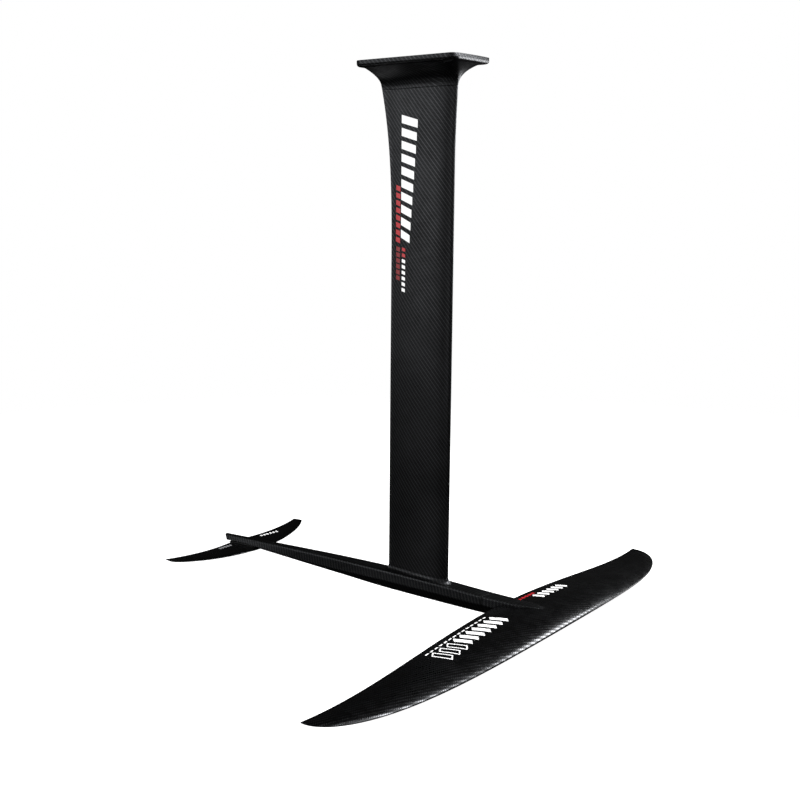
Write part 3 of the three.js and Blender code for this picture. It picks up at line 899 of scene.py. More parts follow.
@dataclass
class MastSection:
    """The mast's constant foil section and the flare that opens it to the top plate, in millimetres."""

    middle_x: float = 4.0
    chord: float = 121.0
    thickness: float = 15.6
    edge: float = 0.7
    half_around: int = 69
    plate_length: float = 2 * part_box("mast_head")[1].x / MM
    plate_width: float = 2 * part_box("mast_head")[1].y / MM
    plate_edge: float = 5.0
    corner_radius: float = 12.0
    rim_share: float = 0.32
    rim_depth: float = 4.6
    bow: float = 0.03
    flare_top: float = -10.0
    side_flare: tuple[tuple[float, float, float], ...] = ((1.0, 42.0, 2.6),)
    rear_flare: tuple[tuple[float, float, float], ...] = ((0.75, 330.0, 3.0), (0.25, 30.0, 2.0))
    front_flare: tuple[tuple[float, float, float], ...] = ((0.14, 140.0, 1.2), (0.86, 45.0, 2.6))

    def half(self, u: float) -> float:
        """Returns the half thickness at u from the leading edge."""
        blunt = self.edge if u > 0.5 else 0.0
        return max(self.chord * half_thickness(u, self.thickness / self.chord), blunt)

    def outline(self) -> np.ndarray:
        """Returns the section's closed outline: rear edge, starboard side, front edge, port side."""
        points = []
        for sign, m in self._walk():
            q = min(m / (self.half_around - 1), 1.0)
            u = (1 - math.cos(math.pi * q)) / 2
            y = 0.0 if m == self.half_around else sign * self.half(u)
            points.append((self.middle_x + self.chord * (0.5 - u), y))
        return np.array(points)

    def plate(self, inset: float = 0.0) -> np.ndarray:
        """Walks round the plate, with one point for each point of the mast's outline.

        A half is shared out as 1 part of front edge, 4 of corner, 7 of side, 4 of corner and 1 of rear
        edge.

        Args:
            inset: how far the outline is drawn in, in millimetres.

        Returns:
            The closed outline.
        """
        r = self.corner_radius
        arc = r - inset
        cx, cy = self.plate_length / 2 - r, self.plate_width / 2 - r
        points = []
        for sign, m in self._walk():
            s = 17 * min(m / (self.half_around - 1), 1.0)
            if s <= 1:
                x, y = cx + r - inset, cy * s
            elif s <= 5:
                turn = math.pi / 2 * (s - 1) / 4
                x, y = cx + arc * math.cos(turn), cy + arc * math.sin(turn)
            elif s <= 12:
                x, y = cx * (1 - 2 * (s - 5) / 7), cy + r - inset
            elif s <= 16:
                turn = math.pi / 2 * (1 - (s - 12) / 4)
                x, y = -cx - arc * math.cos(turn), cy + arc * math.sin(turn)
            else:
                x, y = -cx - r + inset, cy * (17 - s)
            points.append((x, 0.0 if m == self.half_around else sign * y))
        outline = np.array(points)
        outline[:, 0] *= 1 - self.bow * (outline[:, 1] / (self.plate_width / 2)) ** 2
        return outline

    def opened(self, curves: tuple[tuple[float, float, float], ...], z: float) -> float:
        """Returns how far a flare has opened at z.

        Args:
            curves: each curve's share at the plate's edge, its depth and its power.
            z: the height, in millimetres.

        Returns:
            From 0 at the straight mast to 1 at the plate's edge.
        """
        depth_here = -z - self.plate_edge
        return sum(share * max(1 - depth_here / depth, 0.0) ** power for share, depth, power in curves)

    def flared(self, z: float) -> np.ndarray:
        """Blends the plate's outline into the mast's.

        Args:
            z: a height between the plate's underside and the straight mast, in millimetres.

        Returns:
            The outline at that height.
        """
        mast, plate = self.outline(), self.plate()
        front = self.middle_x + self.chord / 2
        side = self.opened(self.side_flare, z)
        rear_slide = (self.opened(self.rear_flare, z) - side) * (self.chord - front - self.plate_length / 2)
        front_slide = (self.opened(self.front_flare, z) - side) * (self.plate_length / 2 - front)
        u = (front - mast[:, 0]) / self.chord
        ring = mast + (plate - mast) * side
        ring[:, 0] += rear_slide * u**3 + front_slide * (1 - u) ** 3
        return ring

    def rim(self, turn: float) -> tuple[np.ndarray, float]:
        """Rounds the plate's rim towards the flare.

        Args:
            turn: from 0 at its upright edge to 1 at its underside.

        Returns:
            The rim's outline and its height, in millimetres.
        """
        plate, inner = self.plate(), self.flared(self.flare_top)
        share = self.rim_share * (1 - math.cos(turn * math.pi / 2))
        height = -self.plate_edge - self.rim_depth * math.sin(turn * math.pi / 2)
        return plate + (inner - plate) * share, height

    def _walk(self) -> list[tuple[int, int]]:
        """Returns each point's side and its count from the leading edge, rear edge to rear edge."""
        m = self.half_around
        return [(-1 if k < m else 1, abs(k - m)) for k in range(2 * m + 1)]


def level(outline: np.ndarray, z: float | np.ndarray) -> np.ndarray:
    """Returns a flat outline as points in metres at a height in millimetres."""
    heights = np.broadcast_to(z, (len(outline),))
    return np.column_stack([outline, heights]) * MM


@dataclass
class FuselageShape:
    """The fuselage's guide curves, in millimetres; the wing's centre body continues them ahead of the seam."""

    tail: float = -441.0
    seam: float = 141.0
    nose: float = 288.0
    seat: float = -866.2
    seat_front: float = -352.0
    top_edge: float = 2.2
    corner_radii: tuple[float, float, float, float] = (2.0, 2.0, 3.5, 2.5)
    corner_reach: float = 0.42

    def __post_init__(self) -> None:
        """Builds the guide curves."""
        n = self.nose
        self.top = guide([(-441, -855.6), (-246, -852.6), (-86, -852.6), (60, -855.9), (141, -859.2),
                          (205, -860.4), (250, -861.8), (n, -868.6)])
        self.bottom = guide([(-441, -866), (-392, -866.2), (-252, -875.2), (-159, -881.4), (-71, -887),
                             (52, -890.3), (141, -891.4), (205, -890.2), (250, -884.5), (n, -874.5)])
        self.shoulder = guide([(-441, 4.6), (-296, 8.8), (-220, 11.8), (-146, 14.2), (-60, 16.4),
                               (141, 16.4), (205, 13.8), (250, 6.6), (n, 2)])
        self.belly = guide([(-441, 8), (-340, 9.6), (-220, 12.4), (-146, 14.4), (-60, 16.4),
                            (141, 16.4), (205, 13.8), (250, 7.4), (n, 2)])
        self.keel = guide([(-441, 7.6), (-340, 7.6), (-252, 7), (-159, 5), (-71, 4.2),
                           (141, 4.2), (205, 3.8), (250, 2.6), (n, 1)])
        self.chamfer = guide([(-441, 0.8), (-340, 1.6), (-252, 4), (-171, 8), (-56, 16),
                              (141, 16), (205, 14.4), (250, 9.6), (n, 2)])

    def section(self, x: float, inset: float = 0.0, steps: int = 5,
                sides: int = 4) -> list[tuple[float, float]]:
        """Returns the rounded section at x as a closed loop of (y, z).

        Args:
            x: the section's place.
            inset: how far the section is drawn in.
            steps: points on each rounded corner.
            sides: points along each flat between corners.

        Returns:
            The loop, whose first and last points coincide.
        """
        drop = min(self.top_edge, self.shoulder(x) * 0.3)
        top, bottom = self.top(x) - inset, self.bottom(x) + inset
        half = [(self.shoulder(x) - drop, top), (self.shoulder(x) - inset, top - drop),
                (self.belly(x) - inset, bottom + self.chamfer(x)), (self.keel(x), bottom)]
        corners = half + [(-y, z) for y, z in reversed(half)]
        radii = self.corner_radii + self.corner_radii[::-1]
        loop: list[tuple[float, float]] = []
        for i, corner in enumerate(corners):
            following = (i + 1) % len(corners)
            here, before = np.array(corner), np.array(corners[i - 1])
            after = np.array(corners[following])
            start = self._towards(here, before, radii[i])
            end = self._towards(here, after, radii[i])
            for k in range(steps + 1):
                t = k / steps
                loop.append(tuple((1 - t) ** 2 * start + 2 * t * (1 - t) * here + t**2 * end))
            target = self._towards(after, here, radii[following])
            for k in range(1, sides):
                loop.append(tuple(end + (target - end) * k / sides))
        loop.append(loop[0])
        return loop

    def _towards(self, corner: np.ndarray, other: np.ndarray, radius: float) -> np.ndarray:
        """Returns where a corner's rounding ends on the side that leads to another corner.

        Args:
            corner: the corner that is rounded.
            other: the corner at the side's far end.
            radius: the rounding's reach, cut short on a short side.

        Returns:
            The point.
        """
        side = other - corner
        length = np.linalg.norm(side)
        return corner + side / length * min(radius, self.corner_reach * length)

    def rows(self, stations: Sequence[tuple[float, float]]) -> np.ndarray:
        """Returns rows of points in metres from stations given as (x, inset)."""
        return np.array([[(x * MM, y * MM, z * MM) for y, z in self.section(x, inset)]
                         for x, inset in stations])


EDGE_ROUNDING = [(0.0, 0.9), (0.12, 0.5), (0.4, 0.2), (0.9, 0.0)]


def rounded_stations(start: float, end: float, count: int, round_start: bool, round_end: bool,
                     scale: float = 0.4) -> list[tuple[float, float]]:
    """Returns stations along X with small rounded edges at chosen ends.

    Args:
        start: first X.
        end: last X.
        count: plain stations between them.
        round_start: whether the first edge is rounded.
        round_end: whether the last edge is rounded.
        scale: the rounding's size, in millimetres.

    Returns:
        Pairs of X and inset.
    """
    first, last = [(start, 0.0)], [(end, 0.0)]
    if round_start:
        first = [(start + a * scale, b * scale) for a, b in EDGE_ROUNDING]
    if round_end:
        last = [(end - a * scale, b * scale) for a, b in reversed(EDGE_ROUNDING)]
    low, high = first[-1][0], last[0][0]
    between = [(low + (high - low) * i / count, 0.0) for i in range(1, count)]
    return first + between + last


@dataclass
class Mast:
    """Top plate with its flared root, the mast's tube and the fillet at its foot."""

    section: MastSection = field(default_factory=MastSection)
    body: FuselageShape = field(default_factory=FuselageShape)
    parting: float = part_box("mast_head")[0].z / MM
    gap: float = 0.3
    parting_gap: float = 0.03
    groove: float = 0.5
    slot_width: float = 8.6
    slot_length: float = 24.0
    slot_places: tuple[float, float] = (75.0, 45.0)
    seat_width: float = 14.0
    seat_z: float = -9.0
    countersink: float = 1.2
    foot: float = -840.0
    straight_from: float = -335.0
    fillet_height: float = 7.0
    fillet_reach: float = 5.6

    def build(self, finishes: Finishes) -> None:
        """Builds and dresses the mast's three pieces."""
        hand_over(self.head(), finishes.mast, Slot.TWILL, "mast_head")
        hand_over(self.tube(), finishes.mast, Slot.TWILL, "mast_skin")
        hand_over(self.foot_fillet(), finishes.mast, Slot.TWILL, "mast_foot_fairing")

    def head(self) -> bpy.types.Object:
        """Returns the plate and flare in one, with four slots and their bolt seats."""
        s = self.section
        top_edge = ((0, 0.6), (-0.08, 0.3), (-0.25, 0.1), (-0.6, 0.0))
        rows = [level(s.plate(inset), z) for z, inset in top_edge]
        rows += [level(s.plate(), z) for z in (-2.0, -3.4, -4.4)]
        rows += [level(*s.rim(turn)) for turn in np.linspace(0, 1, 9)]
        levels = s.flare_top - (s.flare_top - self.parting - 0.6) * np.linspace(0, 1, 32) ** 1.4
        rows += [level(s.flared(z), z) for z in levels]
        rows += [level(self._drawn_in(s.flared(self.parting), self.groove), self.parting)]
        grid = np.array(rows)
        head = grid_skin("top_plate_moulding", grid, upright_cloth(grid), smooth=40)
        self._cut_slots(head)
        return head

    def _cut_slots(self, head: bpy.types.Object) -> None:
        """Cuts the four bolt slots and the flat seats under them.

        Args:
            head: the moulding to cut.
        """
        for sx in (-1, 1):
            for sy in (-1, 1):
                place = Vector((sx * self.slot_places[0], sy * self.slot_places[1], 0)) * MM
                stretch = (self.slot_length - self.slot_width) * MM
                cuts = ((self.seat_width, -60.0, self.seat_z), (self.slot_width, -30.0, 5.0))
                for width, low, high in cuts:
                    radius = width / 2 * MM
                    carve(head, round_cutter(radius, radius, low * MM, high * MM, place, stretch))
                rim = self.slot_width / 2 * MM
                wide = rim + self.countersink * MM
                carve(head, round_cutter(rim, wide, -0.6 * MM, 0.6 * MM, place, stretch))
        soften(head, 32)

    @staticmethod
    def _drawn_in(outline: np.ndarray, distance: float) -> np.ndarray:
        """Draws an outline in where the mast is thick, for the groove at the parting line.

        Args:
            outline: the outline at the parting line.
            distance: how far it is drawn in, in millimetres.

        Returns:
            The drawn-in outline.
        """
        middle = outline.mean(axis=0)
        away = outline - middle
        reach = np.abs(away)
        thick = np.clip(reach[:, 1:] / 2.0, 0, 1)
        return middle + away * (1 - thick * distance / np.maximum(reach, 2.0))

    def tube(self) -> bpy.types.Object:
        """Returns the mast's skin, from the parting line down to the fuselage."""
        s = self.section
        top = self.parting - self.parting_gap
        rows = [level(self._drawn_in(s.flared(top), self.groove), top)]
        flare = top - 0.5 - (top - self.straight_from) * np.linspace(0, 1, 30) ** 1.4
        rows += [level(s.flared(z), z) for z in flare]
        straight = s.outline()
        rows += [level(straight, z) for z in np.linspace(flare[-1], self.foot, 24)[1:]]
        rows.append(level(straight, np.array([self.body.top(x) + self.gap for x in straight[:, 0]])))
        grid = np.array(rows)
        return grid_skin("mast_tube", grid, upright_cloth(grid), smooth=40)

    def foot_fillet(self) -> bpy.types.Object:
        """Returns the concave fillet that runs round the mast's foot."""
        outline = self.section.outline()
        ahead, behind = np.roll(outline[:-1], -1, axis=0), np.roll(outline[:-1], 1, axis=0)
        tangent = ahead - behind
        normal = np.column_stack([tangent[:, 1], -tangent[:, 0]])
        normal /= np.linalg.norm(normal, axis=1)[:, None]
        inward = np.einsum("ij,ij->i", normal, outline[:-1] - np.array([self.section.middle_x, 0])) < 0
        normal[inward] *= -1
        normal = np.vstack([normal, normal[:1]])
        height, reach = self.fillet_height, self.fillet_reach
        steps = [(0.8 + reach * (1 - t) ** 2.2, height * t) for t in np.linspace(0, 1, 12)]
        profile = [(0.05, 0.0), *steps, (0.05, height + 0.4), (0.05, 0.0)]
        rows = []
        for out, up in profile:
            ring = outline + normal * out
            rows.append(level(ring, np.array([self.body.top(x) + self.gap + up for x in ring[:, 0]])))
        grid = np.array(rows)
        return grid_skin("mast_foot_fillet", grid, upright_cloth(grid) * (1, -1), smooth=50)


@dataclass
class Fuselage:
    """The slim chamfered fuselage, cut at a slant across its tail."""

    body: FuselageShape = field(default_factory=FuselageShape)
    slant: float = 0.75
    slanted_length: float = 60.0
    seam_rounding: float = 0.15

    def build(self, finishes: Finishes) -> None:
        """Builds and dresses the fuselage."""
        hand_over(self.moulding(), finishes.bias, Slot.TWILL, "fuselage_shell")

    def moulding(self) -> bpy.types.Object:
        """Returns the outer moulding with its flat seat for the stabiliser."""
        b = self.body
        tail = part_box("fuselage_shell")[0].x / MM
        stations = rounded_stations(tail, b.seam, 84, True, True, self.seam_rounding)
        rows = b.rows(stations) / MM
        for (x, _), row in zip(stations, rows):
            fade = max(1 - (x - tail) / self.slanted_length, 0.0)
            row[:, 0] += fade * self.slant * np.maximum(b.top(tail) - row[:, 2], 0.0)
            if x < b.seat_front:
                row[:, 2] = np.maximum(row[:, 2], b.seat)
        cloth = wrapped_cloth(rows * MM, 50)
        return grid_skin("fuselage_moulding", rows * MM, cloth[..., ::-1], smooth=30)


@dataclass
class FrontWing:
    """The front wing: one wrapped shell and the centre body that slides over the fuselage's spigot."""

    plan: WingPlan = field(default_factory=WingPlan)
    body: FuselageShape = field(default_factory=FuselageShape)
    fillet: float = 8.0
    fillet_rise: float = 0.62
    root_half: float = 60.0
    wall_gap: float = 0.4
    seam_gap: float = 0.05
    seam_rounding: float = 0.15
    around: int = 128
    half_count: int = 90

    def build(self, finishes: Finishes) -> None:
        """Builds and dresses the wing's two pieces."""
        hand_over(self.shell(), finishes.wing, Slot.GLOSS, "front_wing_upper_skin", "front_wing_lower_skin")
        hand_over(self.centre(), finishes.bias, Slot.GLOSS, "front_wing_centre")

    def shell(self) -> bpy.types.Object:
        """Returns the wing's shell, with a fillet that climbs the centre body's sides."""
        rows = foil_rows(self.plan, self.around, self.half_count, self._climb)
        return grid_skin("front_wing_shell", rows, flat_cloth(rows), smooth=50)

    def _climb(self, point: Vector, column: int) -> float:
        """Returns how far a point of the shell rises or falls to meet the centre body.

        Args:
            point: the point, in millimetres.
            column: its count round the section.

        Returns:
            The change of its height.
        """
        if abs(point.y) > self.root_half or point.x > self.body.nose:
            return 0.0
        upper = column > self.around // 2
        side = 1 if upper else -1
        wall = self.body.top(point.x) if upper else self.body.bottom(point.x)
        room = side * (wall - point.z)
        if room <= self.wall_gap:
            return 0.0
        half = self.body.shoulder(point.x) if upper else self.body.keel(point.x) + 1.0
        away = abs(point.y) - half + 1.0
        reach = min(self.fillet, 2.2 * room)
        if away >= reach:
            return 0.0
        t = 1 - max(away, 0.0) / reach
        rise = self.fillet_rise * min(room - self.wall_gap, reach)
        return side * rise * (1 - math.sqrt(max(1 - t * t, 0.0)))

    def centre(self) -> bpy.types.Object:
        """Returns the centre body, with countersunk holes for the two screws."""
        b = self.body
        stations = rounded_stations(b.seam + self.seam_gap, b.nose, 46, True, True, self.seam_rounding)
        rows = b.rows(stations)
        piece = grid_skin("wing_centre_body", rows, wrapped_cloth(rows, 10)[..., ::-1], smooth=30)
        for node in ("wing_screw_rear", "wing_screw_front"):
            countersink(piece, node, b.bottom(200) * MM)
        soften(piece, 30)
        return piece


def countersink(piece: bpy.types.Object, node: str, face: float) -> None:
    """Cuts a countersunk hole round a CAD screw.

    Args:
        piece: the piece to cut.
        node: the screw's node.
        face: height of the face that the hole opens on.
    """
    low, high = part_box(node)
    place = (low + high) / 2
    wide = (high.x - low.x) / 2 + 0.3 * MM
    cone = 0.3 * (high.z - low.z)
    carve(piece, round_cutter(wide, wide, face - 8 * MM, low.z + 0.4 * MM, place))
    carve(piece, round_cutter(wide, wide * 0.55, low.z + 0.3 * MM, low.z + cone + 0.4 * MM, place))


@dataclass
class Stabiliser:
    """The small rear wing with its moulded pad under the fuselage's tail."""

    plan: TailPlan = field(default_factory=TailPlan)
    body: FuselageShape = field(default_factory=FuselageShape)
    around: int = 96
    half_count: int = 60
    heel_overhang: float = 4.5
    heel_length: float = 23.5
    heel_half: float = 8.4
    heel_height: float = 4.0
    heel_drop: float = 1.6
    heel_slant: float = 0.78
    heel_squareness: float = 0.25
    pad_gap: float = 0.3
    pad_half: float = 9.5
    pad_fade: float = 16.0
    pad_middle: float = -386.0
    pad_reach: float = 34.0

    def build(self, finishes: Finishes) -> None:
        """Builds and dresses the stabiliser."""
        hand_over(self.blade(), finishes.wing, Slot.GLOSS, "stabiliser")
        hand_over(self.heel(), finishes.bias, Slot.GLOSS)

    def blade(self) -> bpy.types.Object:
        """Returns the blade, thickened under the tail where the two screws pass."""
        rows = foil_rows(self.plan, self.around, self.half_count, self._pad)
        blade = grid_skin("stabiliser_blade", rows, flat_cloth(rows), smooth=50)
        for node in ("stabiliser_screw_rear", "stabiliser_screw_front"):
            countersink(blade, node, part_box("stabiliser")[0].z)
        soften(blade, 40)
        return blade

    def heel(self) -> bpy.types.Object:
        """Returns the pad's heel, which closes the wedge between the tail and the blade."""
        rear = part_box("stabiliser")[0].x / MM - self.heel_overhang
        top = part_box("stabiliser_shim")[0].z / MM - self.pad_gap
        rows = []
        for x, inset in rounded_stations(rear, rear + self.heel_length, 12, True, False, 0.6):
            share = (x - rear) / self.heel_length
            half_height = (self.heel_height + self.heel_drop * share) / 2 - inset
            ring = []
            for turn in np.linspace(0, 2 * math.pi, 41):
                y = (self.heel_half - inset) * self._squared(math.cos(turn))
                z = top - inset - half_height * (1 - self._squared(math.sin(turn)))
                ring.append((x + self.heel_slant * (top - z) * (1 - share), y, z))
            rows.append(ring)
        grid = np.array(rows) * MM
        return grid_skin("stabiliser_heel", grid, wrapped_cloth(grid, 4)[..., ::-1], smooth=40)

    def _squared(self, part: float) -> float:
        """Returns a circle's coordinate pushed outwards, so that the circle becomes a rounded box."""
        return math.copysign(abs(part) ** self.heel_squareness, part)

    def _pad(self, point: Vector, column: int) -> float:
        """Returns how far a point moves to form the flat pad under the fuselage.

        Args:
            point: the point, in millimetres.
            column: its count round the section.

        Returns:
            The change of its height.
        """
        away = max(abs(point.y) - self.pad_half, 0.0) / self.pad_fade
        if away >= 1:
            return 0.0
        blend = (1 - away) ** 2 * (1 + 2 * away)
        upper = column > self.around // 2
        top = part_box("stabiliser_shim")[0].z / MM - self.pad_gap
        if upper:
            return blend * (min(point.z, top) - point.z)
        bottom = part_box("stabiliser")[0].z / MM + 0.2
        middle = 1 - abs(point.x - self.pad_middle) / self.pad_reach
        return blend * min(bottom - point.z, 0.0) * min(max(middle * 3, 0.0), 1.0)


@dataclass
class Screws:
    """Countersunk screws with hexagon sockets, modelled once and copied."""

    wing_nodes: tuple[str, str] = ("wing_screw_rear", "wing_screw_front")
    tail_nodes: tuple[str, str] = ("stabiliser_screw_rear", "stabiliser_screw_front")
    wing_sizes: tuple[float, float] = (4.0, 2.9)
    tail_sizes: tuple[float, float] = (3.0, 2.3)

    def build(self, finishes: Finishes) -> None:
        """Builds and dresses the four screws.

        Args:
            finishes: the foil's materials.
        """
        kinds = ((self.wing_nodes, self.wing_sizes), (self.tail_nodes, self.tail_sizes))
        for nodes, (radius, socket) in kinds:
            first = self.screw(nodes[0], radius * MM, socket * MM)
            copies = [first]
            for node in nodes[1:]:
                twin = first.copy()
                twin.data = first.data.copy()
                bpy.context.scene.collection.objects.link(twin)
                twin.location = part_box(node)[0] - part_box(nodes[0])[0]
                settle(twin)
                twin.name = twin.data.name = f"{node}_head"
                copies.append(twin)
            for node, piece in zip(nodes, copies):
                hand_over(piece, finishes.steel, Slot.STEEL, node)

    def screw(self, node: str, radius: float, socket: float) -> bpy.types.Object:
        """Returns one screw, head down.

        Args:
            node: the CAD screw that it stands for.
            radius: of its shank.
            socket: half the width across the socket's flats.

        Returns:
            The screw.
        """
        low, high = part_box(node)
        head = (high.x - low.x) / 2
        place = (low + high) / 2
        deselect()
        bpy.ops.mesh.primitive_cylinder_add(vertices=48, radius=head, depth=0.5 * MM,
                                            location=(place.x, place.y, low.z + 0.25 * MM))
        piece = bpy.context.object
        piece.name = piece.data.name = f"{node}_head"
        settle(piece)
        self._draw_up(piece, low.z + 0.5 * MM, head - radius, radius / head)
        shank = high.z - low.z - head + radius - 1.5 * MM
        self._draw_up(piece, low.z + 0.5 * MM + head - radius, shank, 1.0)
        self._draw_up(piece, high.z - 1.0 * MM, 1.0 * MM, 0.75)
        deselect()
        bpy.ops.mesh.primitive_cylinder_add(vertices=6, radius=socket / math.cos(math.pi / 6), depth=6 * MM,
                                            location=(place.x, place.y, low.z))
        hexagon = bpy.context.object
        settle(hexagon)
        carve(piece, hexagon)
        finish_with(piece, "BEVEL", width=0.12 * MM, segments=2, limit_method="ANGLE",
                    angle_limit=math.radians(50))
        soften(piece, 30)
        return piece

    @staticmethod
    def _draw_up(piece: bpy.types.Object, height: float, rise: float, shrink: float) -> None:
        """Extrudes the top face upwards and scales it about its own centre.

        Args:
            piece: the screw so far.
            height: Z of its top face now.
            rise: how far the face goes up.
            shrink: the new radius over the old one.
        """
        activate(piece)
        bpy.ops.object.mode_set(mode="EDIT")
        bpy.ops.mesh.select_mode(type="FACE")
        bpy.ops.mesh.select_all(action="DESELECT")
        bpy.ops.object.mode_set(mode="OBJECT")
        for face in piece.data.polygons:
            face.select = face.normal.z > 0.9 and abs(face.center.z - height) < 0.05 * MM
        centre = next(face.center.copy() for face in piece.data.polygons if face.select)
        bpy.ops.object.mode_set(mode="EDIT")
        bpy.ops.mesh.extrude_region_move(TRANSFORM_OT_translate={"value": (0, 0, rise)})
        raised = tuple(centre + Vector((0, 0, rise)))
        bpy.ops.transform.resize(value=(shrink, shrink, 1), center_override=raised)
        bpy.ops.object.mode_set(mode="OBJECT")


# ------------------------------------------------------------------------------ printed marks


@dataclass
class Mark:
    """A slanted bar printed on a surface, in millimetres along the surface's two directions.

    Attributes:
        start: its first corner.
        along: its long side.
        across: the shift of its far side along the first direction.
        depth: the shift of its far side along the second direction.
        tilt: how far its long side climbs along the second direction.
    """

    start: tuple[float, float]
    along: tuple[float, float]
    across: float
    depth: float
    tilt: float

    def rows(self, place: Callable[[float, float], Vector], count: int = 8) -> np.ndarray:
        """Returns the bar's points in metres on a surface.

        Args:
            place: returns the surface's point, in millimetres, from its two directions.
            count: steps each way.

        Returns:
            A grid of points.
        """
        grid = []
        for j in range(count + 1):
            b = j / count
            line = []
            for i in range(count + 1):
                a = i / count
                x = self.start[0] + self.along[0] * a + self.across * b
                y = self.start[1] + (self.along[1] + self.tilt) * a + self.depth * b
                line.append(tuple(place(x, y) * MM))
            grid.append(line)
        return np.array(grid)


def mark_row(count: int, first: tuple[float, float], step: tuple[float, float], length: float,
             across: float, depth: float, tilt: float = 0.0, shorter: float = 0.0) -> list[Mark]:
    """Repeats a bar at even steps.

    Args:
        count: how many bars there are.
        first: the first bar's corner, in millimetres.
        step: the shift from one bar to the next.
        length: of the first bar's long side.
        across: the shift of a bar's far side along the first direction.
        depth: the shift of a bar's far side along the second direction.
        tilt: how far a bar's long side climbs along the second direction.
        shorter: how much shorter each bar is than the one before.

    Returns:
        The bars.
    """
    return [Mark((first[0] + step[0] * i, first[1] + step[1] * i), (length - shorter * i, 0.0),
                 across, depth, tilt) for i in range(count)]


def print_film(mark: Mark, place: Callable[[float, float], Vector]) -> bpy.types.Object:
    """Makes a thin printed film that follows a surface.

    Args:
        mark: the bar to print.
        place: the surface.

    Returns:
        The film as a thin closed piece.
    """
    rows = mark.rows(place)
    deselect()
    around, along = rows.shape[1] - 1, rows.shape[0] - 1
    bpy.ops.mesh.primitive_grid_add(x_subdivisions=around, y_subdivisions=along, size=2)
    film = bpy.context.object
    for vertex in film.data.vertices:
        column = round((vertex.co.x + 1) / 2 * around)
        row = round((vertex.co.y + 1) / 2 * along)
        vertex.co = Vector(rows[row, column])
    finish_with(film, "SOLIDIFY", thickness=FILM_THICKNESS, offset=0.0)
    close_up(film)
    soften(film, 30)
    return film


@dataclass
class PrintSet:
    """Marks of one ink on one surface, joined into one piece.

    Attributes:
        name: the piece's name.
        ink: its material.
        marks: its bars.
        place: returns the surface's point from its two directions.
    """

    name: str
    ink: bpy.types.Material
    marks: list[Mark]
    place: Callable[[float, float], Vector]


def join_up(name: str, films: Sequence[bpy.types.Object]) -> bpy.types.Object:
    """Joins films into one named piece.

    Args:
        name: the piece's name.
        films: the films to join.

    Returns:
        The joined piece.
    """
    deselect()
    for film in films:
        film.select_set(True)
    piece = films[0]
    bpy.context.view_layer.objects.active = piece
    bpy.ops.object.join()
    piece.name = piece.data.name = name
    return piece


